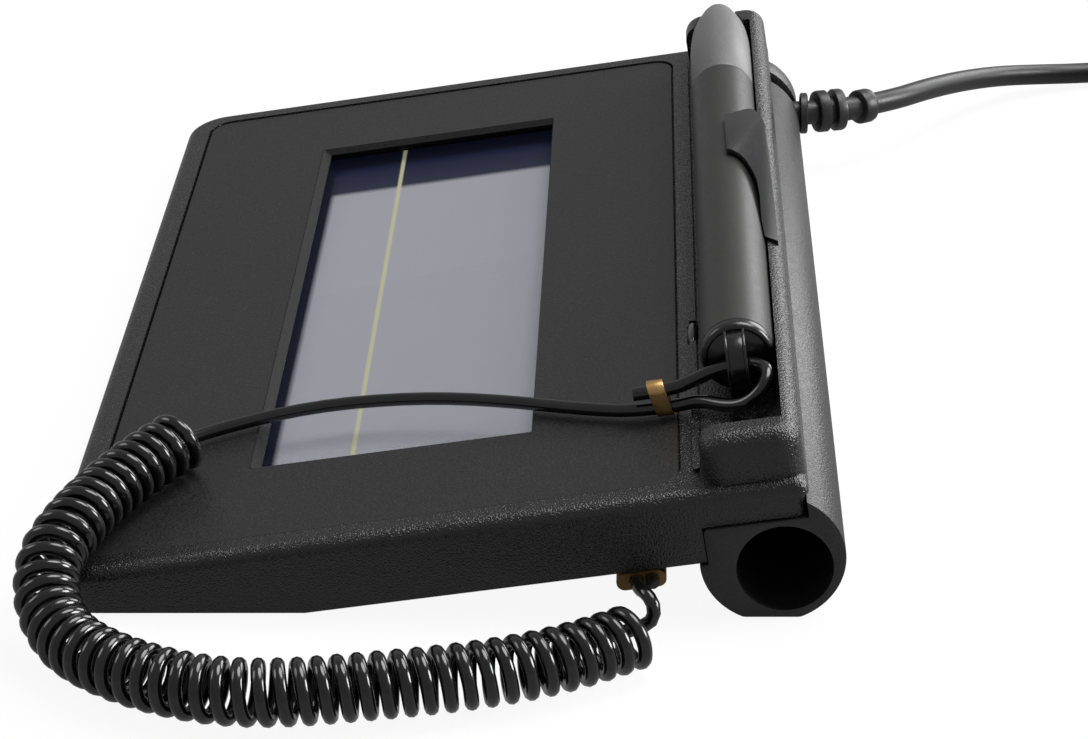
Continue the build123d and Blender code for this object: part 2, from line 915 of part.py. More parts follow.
with BuildPart() as rear_tube:
    with BuildSketch(table_side_at(tube_far_gap - half_length)):
        with Locations((tube_back, tube_rise)):
            Circle(tube_radius)
        with Locations((bore_line, bore_rise)):
            Circle(bore_radius, mode=Mode.SUBTRACT)
    extrude(amount=pad_length - tube_far_gap + tube_proud)
    with BuildSketch(table_side_at(-half_length)):
        with Locations((tube_back, -over / 2)):
            Rectangle(4 * tube_radius, over)
    extrude(amount=pad_length + over, mode=Mode.SUBTRACT)
    add(base_block.part, mode=Mode.SUBTRACT)
    add(top_cover.part, mode=Mode.SUBTRACT)
    # The slot for the cable, from the top round to the rear
    with BuildSketch(table_side_at(slot_far - half_length)):
        with Locations((bore_line + tube_radius, bore_rise + tube_radius)):
            Rectangle(2 * tube_radius, 2 * tube_radius)
    extrude(amount=slot_width, mode=Mode.SUBTRACT)
    with BuildSketch(wire_hole_plane):
        RegularPolygon(inner_wire / 2 + fit, small_sides)
    extrude(amount=wire_hole_length, mode=Mode.SUBTRACT)
    with BuildSketch(deck.offset(-step_height)):
        with Locations([(line, tube_screw_back) for line in tube_screw_lines]):
            RegularPolygon(tube_screw + screw_fit, small_sides)
    extrude(amount=-tube_screw_bite - fit, mode=Mode.SUBTRACT)
save(rear_tube.part, "rear_tube")

with BuildPart() as tube_screws:
    with BuildSketch(deck.offset(-step_height - tube_screw_bite)):
        with Locations([(line, tube_screw_back) for line in tube_screw_lines]):
            RegularPolygon(tube_screw, small_sides)
    extrude(amount=tube_screw_bite + wall - tube_screw_pocket)
    with BuildSketch(deck.offset(wall - step_height - tube_screw_pocket)):
        with Locations([(line, tube_screw_back) for line in tube_screw_lines]):
            RegularPolygon(tube_screw_head, small_sides)
    extrude(amount=tube_screw_head_thick)
save(tube_screws.part, "tube_screws")

# Pen
with BuildPart() as pen_barrel:
    with BuildSketch(side_at(pen_joint + ring_width)):
        with Locations((pen_line, pen_height)):
            Circle(pen_radius)
            Circle(pen_radius - pen_wall, mode=Mode.SUBTRACT)
    extrude(amount=pen_tail - pen_joint - ring_width)
save(pen_barrel.part, "pen_barrel")

with BuildPart() as pen_ring:
    with BuildSketch(side_at(pen_joint)):
        with Locations((pen_line, pen_height)):
            Circle(pen_radius - ring_depth)
            Circle(pen_radius - pen_wall, mode=Mode.SUBTRACT)
    extrude(amount=ring_width)
save(pen_ring.part, "pen_ring")

spigot = pen_radius - pen_wall - screw_fit
with BuildPart() as pen_nose:
    with BuildSketch(lengthwise_at(pen_line)) as nose_half:
        with BuildLine():
            Polyline(
                (pen_tip, pen_height + nib_radius + screw_fit),
                (pen_tip, pen_height + tip_radius),
                (pen_neck, pen_height + pen_neck_radius),
                (pen_waist, pen_height + pen_waist_radius),
                (pen_taper, pen_height + pen_taper_radius),
                (pen_shoulder, pen_height + pen_radius),
                (pen_joint, pen_height + pen_radius),
                (pen_joint, pen_height + spigot),
                (pen_joint + spigot_length, pen_height + spigot),
                (pen_joint + spigot_length, pen_height + spigot - pen_wall),
                (pen_tip + nib_length + pen_wall, pen_height + spigot - pen_wall),
                (pen_tip + nib_length + pen_wall, pen_height + nib_radius + screw_fit),
                close=True,
            )
        make_face()
    revolve(axis=pen_axis)
save(pen_nose.part, "pen_nose")

with BuildPart() as pen_nib:
    with BuildSketch(side_at(pen_tip - nib_reach)):
        with Locations((pen_line, pen_height)):
            Circle(nib_radius)
    extrude(amount=nib_length)
    chamfer(pen_nib.faces().sort_by(Axis.X)[0].edges(), nib_radius * nib_round_share)
save(pen_nib.part, "pen_nib")

with BuildPart() as pen_tail_cap:
    with BuildSketch(side_at(pen_tail - spigot_length)):
        with Locations((pen_line, pen_height)):
            RegularPolygon(spigot, small_sides)
    extrude(amount=spigot_length)
    with BuildSketch(side_at(pen_tail)):
        with Locations((pen_line, pen_height)):
            Circle(pen_radius)
    extrude(amount=cap_dome)
    chamfer(pen_tail_cap.faces().sort_by(Axis.X)[-1].edges(), cap_round, cap_round / 2)
    # The half-round lug that the tether's loop goes through
    with BuildSketch(lengthwise_at(pen_line - lug_width / 2)):
        with Locations((pen_tail + cap_dome, pen_height)):
            Circle(lug_outer)
            Circle(lug_hole, mode=Mode.SUBTRACT)
            with Locations((-lug_outer / 2 - cap_dome / 2, 0)):
                Rectangle(lug_outer + cap_dome, 2 * lug_outer, mode=Mode.SUBTRACT)
            with Locations((-cap_dome / 2, 0)):
                Rectangle(cap_dome, 2 * lug_outer)
    extrude(amount=-lug_width)
save(pen_tail_cap.part, "pen_tail_cap")

# The springy clip on the tray's back rim, which hooks over the pen
with BuildPart() as pen_clip:
    with BuildSketch(deck.offset(clip_low)):
        with BuildLine():
            Polyline(*clip_plan, close=True)
        make_face()
    extrude(amount=clip_top - clip_low)
    bend_near = on_deck(clip_bend_near[0], pen_line + clip_bend_near[1], clip_top)
    bend_far = on_deck(clip_bend_far[0], pen_line + clip_bend_far[1], clip_top)
    bend_end = on_deck(clip_end[0], pen_line + clip_end[1], tray_height)
    facet = Plane(
        origin=bend_near,
        x_dir=bend_far - bend_near,
        z_dir=(bend_far - bend_near).cross(bend_end - bend_near),
    )
    split(bisect_by=facet, keep=Keep.BOTTOM)
    with BuildSketch(side_at(-half_length)):
        with Locations((pen_line, pen_height)):
            Circle(channel_radius)
    extrude(amount=pad_length, mode=Mode.SUBTRACT)
    add(top_cover.part, mode=Mode.SUBTRACT)
save(pen_clip.part, "pen_clip")

# Cords, in the table's X, Y and Z


def cord_radii(points):
    """A bend radius for each turn of a route, which takes under half of the shorter run."""
    radii = []
    for before, here, after in zip(points, points[1:], points[2:]):
        run_in = Vector(*here) - Vector(*before)
        run_out = Vector(*after) - Vector(*here)
        half_turn = radians(run_in.get_angle(run_out)) / 2
        shorter = min(run_in.length, run_out.length)
        radii.append(bend_share * shorter / tan(half_turn))
    return radii


def cord_run(name, points, wire):
    """A free stretch of cord along a route, and a line of its bends and length."""
    radii = cord_radii(points)
    with BuildPart() as run:
        with BuildLine():
            route = FilletPolyline(*points, radius=radii)
        with BuildSketch(Plane(origin=route @ 0, z_dir=route % 0)) as section:
            RegularPolygon(wire / 2, cord_sides)
        sweep(path=route)
    expected = section.sketch.area * route.length
    print(name, "length", round(route.length, 1), "least bend", round(min(radii), 1))
    print(name, "volume against section times length", round(run.part.volume / expected, 4))
    save(run.part, name)
    return route.length


def wound_tube(name, stations, wire, sides):
    """One unbroken tube through stations of place and heading, with two arcs between each."""
    with BuildPart() as tube:
        with BuildLine() as turns:
            for (start, start_way), (end, end_way) in zip(stations, stations[1:]):
                chord = end - start
                along = chord.dot(start_way + end_way)
                slack = 2 * (1 - start_way.dot(end_way))
                reach = (sqrt(along**2 + slack * chord.dot(chord)) - along) / slack
                first = start + start_way * reach
                second = end - end_way * reach
                middle = (first + second) / 2
                TangentArc(start, middle, tangent=start_way)
                TangentArc(middle, end, tangent=(second - first).normalized())
        with BuildSketch(Plane(origin=stations[0][0], z_dir=stations[0][1])) as section:
            RegularPolygon(wire / 2, sides)
        sweep(path=turns.wires()[0], clean=False)
    length = turns.wires()[0].length
    expected = section.sketch.area * length
    print(name, "length", round(length, 1), "bodies", len(tube.part.solids()))
    print(name, "volume against section times length", round(tube.part.volume / expected, 4))
    save(tube.part, name)
    return length


def least_gap(place, turns, per_turn, wire):
    """The least distance between one turn and the rest of the winding, measured on points."""
    total = int(turns * per_turn)
    spots = [place(step / per_turn) for step in range(total + 1)]
    least = wire * per_turn
    for step, spot in enumerate(spots):
        for other in spots[step + int(per_turn * 0.6) :]:
            least = min(least, (spot - other).length)
    return least - wire


def curl_places(axis_points):
    """The curly cord's centre line as a function of turns, and how many turns it has."""
    with BuildLine():
        axis = Spline(*axis_points)
    steps = 500
    length = axis.length
    marks = [0.0]
    for step in range(steps):
        way_in = axis % (step / steps)
        way_out = axis % ((step + 1) / steps)
        bend = (way_out - way_in).length / (length / steps)
        room = (curl_wire + curl_gap) / (1 - curl_radius * bend)
        marks.append(marks[-1] + length / steps / max(curl_pitch, room))
    turns = round(marks[-1])

    def place(turn):
        wanted = turn / turns * marks[-1]
        low, high = 0, steps
        while high - low > 1:
            middle = (low + high) // 2
            low, high = (middle, high) if marks[middle] <= wanted else (low, middle)
        part_way = (wanted - marks[low]) / (marks[high] - marks[low])
        where = min(max((low + part_way) / steps, 0), 1)
        way = axis % where
        side = Vector(0, 0, 1).cross(way).normalized()
        rise = way.cross(side)
        angle = 2 * pi * turn - pi / 2
        return (axis @ where) + (side * cos(angle) + rise * sin(angle)) * curl_radius

    return place, turns


def coil_place(turn):
    """The put-away cable's centre line, which spirals in and out and climbs at each reversal."""
    layer_turns = (usb_turns - (usb_layers - 1) / 2) / usb_layers
    sweep_turns = layer_turns + 0.5
    radius = usb_outer_turn - usb_turn_pitch * turn
    rise = usb_first_rise
    for layer in range(1, usb_layers):
        reversal = layer * sweep_turns - 0.25
        past = max(turn - reversal, 0)
        radius += 2 * usb_turn_pitch * past * (1 if layer % 2 else -1)
        rise += usb_turn_pitch * min(max((turn - reversal + 0.25) / 0.5, 0), 1)
    angle = pi - 2 * pi * turn
    return Vector(
        usb_coil_line + radius * cos(angle), usb_coil_back + radius * sin(angle), rise
    )


def winding_stations(place, turns, per_turn):
    """Places and headings along a winding at a steady share of a turn."""
    nudge = 0.001
    stations = []
    for step in range(round(turns * per_turn) + 1):
        turn = step / per_turn
        before = place(max(turn - nudge, 0))
        after = place(min(turn + nudge, turns))
        stations.append((place(turn), (after - before).normalized()))
    return stations


# The tether: a turn round the anchor screw and its drop, the curly part, the lead and the loop
curl_place, curl_turns = curl_places(curl_axis_points)
curl_stations = winding_stations(curl_place, curl_turns, 2)
wound_tube("tether_coil", curl_stations, curl_wire, curl_sides)
print("curls", curl_turns, "least gap", round(least_gap(curl_place, curl_turns, 12, curl_wire), 2))
curl_start, curl_start_way = curl_stations[0]
curl_end, curl_end_way = curl_stations[-1]

lead_end = [curl_start - curl_start_way * curl_exit, curl_start]
lead_points = [on_deck(*place) for place in lead_route] + lead_end
cord_run("tether_lead", lead_points, tether_wire)
cord_run("tether_loop", [on_deck(*place) for place in loop_route], tether_wire)

ferrule_height = -base_height - pad_ferrule_drop
turn_points = [
    on_deck(anchor_line + along, anchor_back + back, ferrule_height) for along, back in anchor_turn
]
drop_end = [curl_end + curl_end_way * curl_exit, curl_end]
cord_run("tether_drop", turn_points + drop_route + drop_end, tether_wire)

with BuildPart() as pad_ferrule:
    ferrule_far = anchor_line + pad_ferrule_reach - pad_ferrule_size[0] / 2
    with BuildSketch(side_at(ferrule_far)):
        with Locations((anchor_back, ferrule_height)):
            RectangleRounded(pad_ferrule_size[1], pad_ferrule_size[2], pad_ferrule_size[2] / 2 - fit)
        with Locations((anchor_back + strand_shift, ferrule_height)):
            with GridLocations(strand_apart, 0, 2, 1):
                RegularPolygon(tether_wire / 2 + screw_fit, small_sides, mode=Mode.SUBTRACT)
    extrude(amount=pad_ferrule_size[0])
save(pad_ferrule.part, "pad_ferrule")

with BuildPart() as pen_ferrule:
    ferrule_line = half_length - pen_ferrule_gap
    with BuildSketch(lengthwise_at(cover_back - pen_ferrule_back + pen_ferrule_size[1] / 2)):
        with Locations((ferrule_line, pen_ferrule_height)):
            RectangleRounded(pen_ferrule_size[0], pen_ferrule_size[2], pen_ferrule_size[0] / 2 - fit)
            with GridLocations(0, 2 * ferrule_strand, 1, 2):
                RegularPolygon(tether_wire / 2 + screw_fit, small_sides, mode=Mode.SUBTRACT)
    extrude(amount=pen_ferrule_size[1])
save(pen_ferrule.part, "pen_ferrule")

# The cable: its wires inside, the strain relief, the run, the put-away coil, tie, tail and plug
wires_route = [
    deck_of(relief_route[0][1], relief_route[0][2] + wire_lift),
    (board_back + 22.55, -9.1),
    (board_back + 21.6, -7.4),
    (board_back + 19.6, -6.05),
    (board_back + 17.4, wire_height),
    (board_back + 1.5, wire_height),
    (board_front + header_back, board_top + header_height / 2),
]
cord_run("inner_wires", [on_deck(wire_line, *place) for place in wires_route], inner_wire)

with BuildPart() as strain_relief:
    with BuildLine():
        relief_line = FilletPolyline(*relief_route, radius=cord_radii(relief_route))
    with BuildSketch(Plane(origin=relief_line @ 0, z_dir=relief_line % 0)):
        RegularPolygon(relief_core, small_sides)
    sweep(path=relief_line)
    for ring_start, ring_way, ring_radius, ring_length in relief_rings:
        with BuildSketch(Plane(origin=ring_start, z_dir=ring_way)):
            RegularPolygon(ring_radius, 2 * small_sides)
        extrude(amount=ring_length)
save(strain_relief.part, "strain_relief")

usb_stations = winding_stations(coil_place, usb_turns, 4)
wound_tube("usb_cable_coil", usb_stations, usb_wire, curl_sides)
print("cable turns", usb_turns, "least gap", round(least_gap(coil_place, usb_turns, 24, usb_wire), 2))
coil_start, coil_start_way = usb_stations[0]
coil_end, coil_end_way = usb_stations[-1]
cable_end = [coil_start - coil_start_way * coil_exit, coil_start]
tail_start = [coil_end, coil_end + coil_end_way * coil_exit]
cord_run("usb_cable", cable_route + cable_end, usb_wire)
cord_run("usb_tail", tail_start + tail_route + [plug_end], usb_wire)

with BuildPart() as cable_tie:
    coil_inner = usb_outer_turn - usb_turn_pitch * (usb_turns - (usb_layers - 1) / 2) / usb_layers
    tie_inner = coil_inner - usb_wire / 2 - tie_room
    tie_outer = usb_outer_turn + usb_wire / 2 + tie_room
    tie_top = usb_first_rise + usb_turn_pitch * (usb_layers - 1) + usb_wire / 2
    with BuildSketch(table_side_at(usb_coil_line - tie_width / 2)):
        with Locations((usb_coil_back - (tie_inner + tie_outer) / 2, (tie_top + 2 * tie_thick) / 2)):
            RectangleRounded(
                tie_outer - tie_inner + 2 * tie_thick, tie_top + 2 * tie_thick, edge_round + tie_thick
            )
            RectangleRounded(tie_outer - tie_inner, tie_top, edge_round, mode=Mode.SUBTRACT)
    extrude(amount=tie_width)
save(cable_tie.part, "cable_tie")


def plug_plane(ahead):
    """A plane across the plug, some way ahead of the cable's end."""
    return Plane(
        origin=(plug_end[0], plug_end[1] - ahead, plug_end[2]), x_dir=(1, 0, 0), z_dir=(0, -1, 0)
    )


with BuildPart() as usb_plug_grip:
    with BuildSketch(plug_plane(0)):
        RectangleRounded(grip_size[0], grip_size[2], grip_corner)
    extrude(amount=grip_size[1])
    chamfer(usb_plug_grip.faces().sort_by(Axis.Y)[-1].edges(), edge_round)
save(usb_plug_grip.part, "usb_plug_grip")

with BuildPart() as usb_plug_shell:
    with BuildSketch(plug_plane(grip_size[1])):
        Rectangle(shell_size[0], shell_size[2])
        offset(amount=-shell_wall, mode=Mode.SUBTRACT)
    extrude(amount=shell_size[1])
save(usb_plug_shell.part, "usb_plug_shell")

with BuildPart() as usb_plug_tongue:
    with BuildSketch(plug_plane(grip_size[1])):
        with Locations((0, -tongue_lift)):
            Rectangle(tongue_size[0], tongue_size[2])
    extrude(amount=tongue_size[1])
save(usb_plug_tongue.part, "usb_plug_tongue")
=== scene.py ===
"""A counter-top signature pad with its pen, curly tether and cable, dressed over its CAD frame."""

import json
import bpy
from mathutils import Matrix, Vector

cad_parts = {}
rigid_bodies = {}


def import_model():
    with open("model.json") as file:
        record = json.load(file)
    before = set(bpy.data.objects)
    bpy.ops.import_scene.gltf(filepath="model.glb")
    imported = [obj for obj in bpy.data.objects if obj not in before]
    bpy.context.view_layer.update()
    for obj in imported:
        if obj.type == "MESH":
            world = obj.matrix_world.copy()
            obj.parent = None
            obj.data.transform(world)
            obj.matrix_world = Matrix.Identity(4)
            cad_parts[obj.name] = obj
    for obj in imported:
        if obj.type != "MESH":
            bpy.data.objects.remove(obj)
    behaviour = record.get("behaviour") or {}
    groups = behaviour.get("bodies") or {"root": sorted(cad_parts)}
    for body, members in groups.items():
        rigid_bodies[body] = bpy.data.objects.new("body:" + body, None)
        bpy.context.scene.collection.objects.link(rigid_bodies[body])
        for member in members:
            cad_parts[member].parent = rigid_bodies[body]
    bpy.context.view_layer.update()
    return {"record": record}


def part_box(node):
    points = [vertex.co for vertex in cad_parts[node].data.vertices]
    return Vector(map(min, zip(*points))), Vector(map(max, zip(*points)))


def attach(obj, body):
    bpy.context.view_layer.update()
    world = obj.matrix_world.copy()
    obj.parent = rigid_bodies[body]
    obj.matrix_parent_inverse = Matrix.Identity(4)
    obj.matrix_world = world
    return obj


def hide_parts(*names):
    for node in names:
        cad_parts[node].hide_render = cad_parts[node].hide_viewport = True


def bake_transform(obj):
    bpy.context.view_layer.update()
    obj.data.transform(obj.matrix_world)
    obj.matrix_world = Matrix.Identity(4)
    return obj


bl_info = {
    "name": "Signature Pad",
    "version": (1, 0, 0),
    "blender": (4, 5, 0),
    "location": "3D View > Sidebar > Signature Pad",
    "description": "Builds the pad's pen, cords, screen and finishes over its loaded frame",
    "category": "Add Mesh",
}

from math import atan2, cos, pi, radians, sin

import bpy
from bpy.props import FloatProperty, FloatVectorProperty, IntProperty, PointerProperty
from mathutils import Color, Matrix, Vector

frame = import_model()

MM = 0.001
DECK_TILT = radians(8.26)
DECK_ORIGIN = Vector((0, -0.0292004, 0.00997))
DECK_BACK = Vector((0, cos(DECK_TILT), sin(DECK_TILT)))
DECK_UP = Vector((0, -sin(DECK_TILT), cos(DECK_TILT)))
ALONG = Vector((1, 0, 0))
UP = Vector((0, 0, 1))

# The pen's line on the deck
PEN_BACK = 0.07241
PEN_HEIGHT = 0.006

# The photograph's view
CAMERA_PLACE = Vector((0.45024, 0.0295, 0.2294))
CAMERA_DROP = radians(27.4)
CAMERA_YAW = radians(2.27)
CAMERA_ROLL = radians(-1.23)
CAMERA_LENS = 102.58

# Cord routes: those with the word deck are x, back and height on the tilted deck
CURL_AXIS = [
    (0.0554, -0.0392, 0.0133), (0.0598, -0.0433, 0.0127), (0.0656, -0.0469, 0.0121),
    (0.0715, -0.0499, 0.0117), (0.0774, -0.0519, 0.0115), (0.0835, -0.0542, 0.0101),
    (0.0895, -0.054, 0.007), (0.0948, -0.0511, 0.0049), (0.0989, -0.0477, 0.0047),
    (0.1025, -0.0431, 0.0047), (0.1056, -0.0376, 0.0047), (0.1078, -0.032, 0.0047),
    (0.1091, -0.026, 0.0047), (0.1092, -0.0187, 0.0047), (0.1079, -0.01, 0.0047),
    (0.1065, -0.0014, 0.0047), (0.1048, 0.0065, 0.0047), (0.1023, 0.0144, 0.0047),
    (0.0989, 0.0214, 0.0047), (0.0953, 0.0269, 0.0047),
]
LEAD_ON_DECK = [
    (0.0585, 0.0605, 0.0013), (0.0585, 0.0569, 0.0013), (0.0569, 0.052, 0.0013),
    (0.0543, 0.0462, 0.0013), (0.0512, 0.0398, 0.0013), (0.0483, 0.033, 0.0013),
    (0.0459, 0.0256, 0.0013), (0.0445, 0.0178, 0.0013), (0.044, 0.01, 0.0013),
    (0.0448, 0.0028, 0.0013), (0.0463, -0.003, 0.0013), (0.0478, -0.0076, 0.0013),
    (0.0498, -0.0116, 0.0013),
]
LOOP_ON_DECK = [
    (0.0585, 0.0605, 0.0013), (0.0585, 0.0629, 0.0013), (0.0593, 0.0664, 0.0021),
    (0.062, 0.07, 0.0021), (0.064, 0.073, 0.003), (0.0636, 0.0756, 0.0048),
    (0.0612, 0.0768, 0.0061), (0.0586, 0.0756, 0.0062), (0.05765, 0.0724, 0.0061),
    (0.0576, 0.069, 0.0057), (0.058, 0.0659, 0.0048), (0.0585, 0.0629, 0.004),
    (0.0585, 0.057, 0.004),
]
# Where the tether starts to follow the lifted pen, and where it moves with it
ANCHOR_TURN_ON_DECK = [
    (0.0839, 0.05735, -0.01225), (0.077, 0.05735, -0.01225), (0.075, 0.05856, -0.01225),
    (0.07262, 0.05719, -0.01225), (0.07262, 0.05443, -0.01225), (0.075, 0.05306, -0.01225),
    (0.0774, 0.05511, -0.01225),
]
DROP_ROUTE = [
    (0.0846, 0.0271, 0.00577), (0.0872, 0.0282, 0.0069), (0.0892, 0.0296, 0.0059),
    (0.09, 0.0294, 0.0036), (0.089, 0.0269, 0.0019), (0.0892, 0.0244, 0.00115),
    (0.0906, 0.0237, 0.001),
]
CABLE_ROUTE = [
    (-0.0766, 0.0693, 0.0105), (-0.0804, 0.0744, 0.01), (-0.0875, 0.0802, 0.0089),
    (-0.0961, 0.0874, 0.007), (-0.104, 0.0954, 0.0048), (-0.1086, 0.1032, 0.0032),
    (-0.1114, 0.1113, 0.0022), (-0.1132, 0.122, 0.00205), (-0.1152, 0.133, 0.0023),
]
TAIL_ROUTE = [
    (-0.071, 0.1805, 0.012), (-0.06, 0.178, 0.007), (-0.05, 0.1725, 0.0046),
    (-0.045, 0.1655, 0.0045), (-0.045, 0.1595, 0.0045),
]
COIL_CENTRE = Vector((-0.08675, 0.152, 0))
COIL_TURNS = 11.25
COIL_LAYERS = 4
# How far a route runs on straight past its curls and its coil
CURL_LEAD = 0.003
COIL_LEAD = 0.007

# The pen's turned pieces: profiles are lengths with radii in millimetres, and each piece has
# its node and its slot
PEN_SIDES = 72
NOSE_PROFILE = (
    (-82.2, 1.1), (-82.15, 1.5), (-81.6, 1.9), (-80.9, 2.25), (-80.2, 2.55), (-79.2, 2.87),
    (-78.2, 3.15), (-77.1, 3.4), (-76.0, 3.64), (-74.8, 3.93), (-73.5, 4.2), (-72.2, 4.45),
    (-71.0, 4.66), (-69.3, 4.87), (-67.5, 5.02), (-65.5, 5.16), (-63.5, 5.25), (-61.3, 5.31),
    (-59.0, 5.35), (-44.2, 5.35), (-44.05, 5.25),
)
BARREL_PROFILE = ((-43.8, 5.22), (-43.65, 5.35), (53.2, 5.35), (53.4, 5.15))
NIB_PROFILE = ((-83.0, 0.35), (-82.9, 0.62), (-82.65, 0.82), (-82.2, 0.9))
PEN_PIECES = (
    ("nib_point", "pen_nib", "nib", NIB_PROFILE),
    ("nose_shell", "pen_nose", "pen_light", NOSE_PROFILE),
    ("joint_ring", "pen_ring", "pen_ring", ((-44.05, 5.1), (-43.8, 5.1))),
    ("barrel_shell", "pen_barrel", "pen_dark", BARREL_PROFILE),
)
CAP_PROFILE = (
    (53.4, 5.0), (53.45, 5.2), (53.6, 5.35), (54.35, 5.35), (54.75, 5.25), (55.05, 5.05),
    (55.2, 4.8), (55.22, 4.55), (55.05, 4.45), (55.0, 4.3), (55.2, 3.9), (55.45, 3.2),
    (55.65, 2.3), (55.78, 1.2), (55.8, 0.3),
)
# The strap on the cap's end: its middle, radii and half width, its ridges, and its sunk foot
LUG_CENTRE = (0.0561, 0.0057)
LUG_OUTER = 0.00495
LUG_INNER = 0.0033
LUG_STRAP = 0.0046
LUG_SIDE = 0.0015
LUG_RIDGE = 0.0004
LUG_ROOT = 0.0011

# The clip on the deck, in millimetres: x and distance back from the pen's line, and its top's
# bend and end; then the channel that is cut out under it, in metres
CLIP_PLAN = (
    (-19.1, 0.6), (-20.2, 3.4), (-20.4, 4.6), (-19.8, 5.4), (-17.5, 6.3), (-13.8, 7.0),
    (20.6, 7.25), (19.5, 5.1), (12.3, 5.1), (8.0, 5.15), (3.7, 4.95), (1.6, 4.6), (-0.3, 4.1),
    (-2.2, 3.5), (-3.9, 2.6), (-4.8, 1.6), (-5.2, 0.6),
)
CLIP_LOW = 4.0
CLIP_HIGH = 12.35
CLIP_BEND = ((-3.9, 0.6), (-13.8, 5.7))
CLIP_END = (20.6, 7.2, 7.2)
CHANNEL_RADIUS = 0.00565
CHANNEL_REACH = 0.03

# The rear tube: y and z of its round and its bore, the base's step on the deck, and its slot
TUBE_CENTRE = (0.045898, 0.009302)
TUBE_RADIUS = 0.0101
TUBE_FAR = -0.079
TUBE_NEAR = 0.083
BORE_CENTRE = (0.047598, 0.007852)
BORE_RADIUS = 0.0067
STEP_FRONT = 0.0652
STEP_FOOT = -0.0109
STEP_TOP = -0.0054
BASE_BACK = 0.0798
STEP_GAP = 0.00016
STEP_CHAMFER = 0.0004
CABLE_SLOT = (-0.07375, -0.06925)
SLOT_BACK = 0.07
SLOT_TOP = 0.03

# The strain relief: its route, and rings by start, heading and profile in millimetres
RELIEF_ROUTE = [
    (-0.0715, 0.0545, 0.01095), (-0.0715, 0.0574, 0.01095), (-0.0739, 0.0641, 0.0106),
    (-0.0755, 0.0678, 0.0105),
]
RELIEF_CORE = 0.0022
RELIEF_RINGS = (
    ((-71.5, 56.2, 10.95), (0, 1, 0), ((0, 3.3), (0.2, 3.7), (1.2, 3.7), (1.4, 3.4))),
    (
        (-72.5, 59.0, 10.8),
        (-0.3, 0.95, -0.03),
        (
            (0, 3.3), (0.15, 3.65), (0.5, 3.8), (2.0, 3.8), (2.15, 3.65), (2.2, 2.5), (3.3, 2.5),
            (3.35, 3.65), (3.5, 3.8), (4.8, 3.8), (5.15, 3.65), (5.3, 3.3),
        ),
    ),
    (
        (-74.69, 66.74, 10.7),
        (-0.595, 0.8, -0.078),
        ((0, 2.7), (0.15, 3.0), (0.4, 3.1), (2.3, 3.1), (2.8, 2.95), (3.1, 2.6), (3.2, 2.3)),
    ),
)

# The sleeve crimped over the pen's loop, on the deck, and the room for the cord's strands
SLEEVE_CENTRE = (0.0585, 0.0608, 0.0029)
SLEEVE_SIZE = (0.0031, 0.0024, 0.0055)
SLEEVE_LEAN = 0.19
STRAND_HEIGHTS = (0.0013, 0.004)
STRAND_GAP = 0.00003
STRAND_REACH = 0.006

# The window on the deck: its far and near ends and its back edge, and its lip's section
WINDOW = (-0.0585, 0.0577, 0.0415)
LIP_SECTION = ((0, -0.0001), (0.0013, -0.00095), (0.0013, -0.00125), (0, -0.0024))
LIP_FAR_SHARE = 0.7

# The ribs of the plug's grip
GRIP_RIB = 0.0004
GRIP_RIB_SHARE = 0.72
GRIP_RIBS = 6
GRIP_FIRST = 0.0045
GRIP_PITCH = 0.0017

# The display on the deck: the end of the painted dark reflection and shade across its far end, its
# lit area, and the line to sign on
DARK_REFLECTION_END = (-0.0468, -0.0452)
DARK_REFLECTION_WANDER = 0.0003
LIT_ALONG = (-0.0568, 0.06)
LIT_BACK = (0.0016, 0.0435)
LIT_FADE = 0.001
SIGN_LINE = (0.01345, 0.01445)
SIGN_FADE = 0.0003
DOT_ROWS = 640.0
BORDER_COLOUR = (0.0075, 0.009, 0.022)

# Shared by the finishes; a bump is its strength and depth
NOISE_RANGE = (0.3, 0.7)
DUST_COLOUR = (0.16, 0.16, 0.165)
HAIRLINES = (60.0, 1400.0, 1400.0)
SKIN_DEPTH = 0.00004
GLASS_BUMP = (0.02, 0.0001)

# Grained plastics by slot: name, colour, roughness, the grain's size, depth and strength,
# dust and gloss; a colour in words is one of the pad's colours
GRAINED = {
    "case": ("case grain", "case", 0.27, 3500.0, 0.00017, 1.0, 0.06, 0.56),
    "plate": ("plate grain", "plate", 0.46, 2400.0, 0.00007, 0.8, 0.25, 0.37),
    "lip": ("lip grain", "plate", 0.5, 2400.0, 0.00004, 0.5, 0.1, 0.16),
    "tube": ("tube grain", "tube", 0.42, 2600.0, 0.00012, 0.8, 0.12, 0.5),
    "foot_rubber": ("soft rubber", (0.012, 0.012, 0.012), 0.75, 1800.0, 0.00006, 0.5, 0.15, 0.5),
    "clip": ("clip skin", "clip", 0.4, 3600.0, 0.00003, 0.3, 0.08, 0.5),
    "cable": ("cable jacket", "cable", 0.42, 3000.0, 0.00003, 0.35, 0.1, 0.5),
    "pen_dark": ("barrel skin", "pen_barrel", 0.46, 3800.0, 0.00003, 0.3, 0.08, 0.5),
    "pen_light": ("nose skin", "pen_nose", 0.46, 3800.0, 0.00003, 0.3, 0.08, 0.5),
}
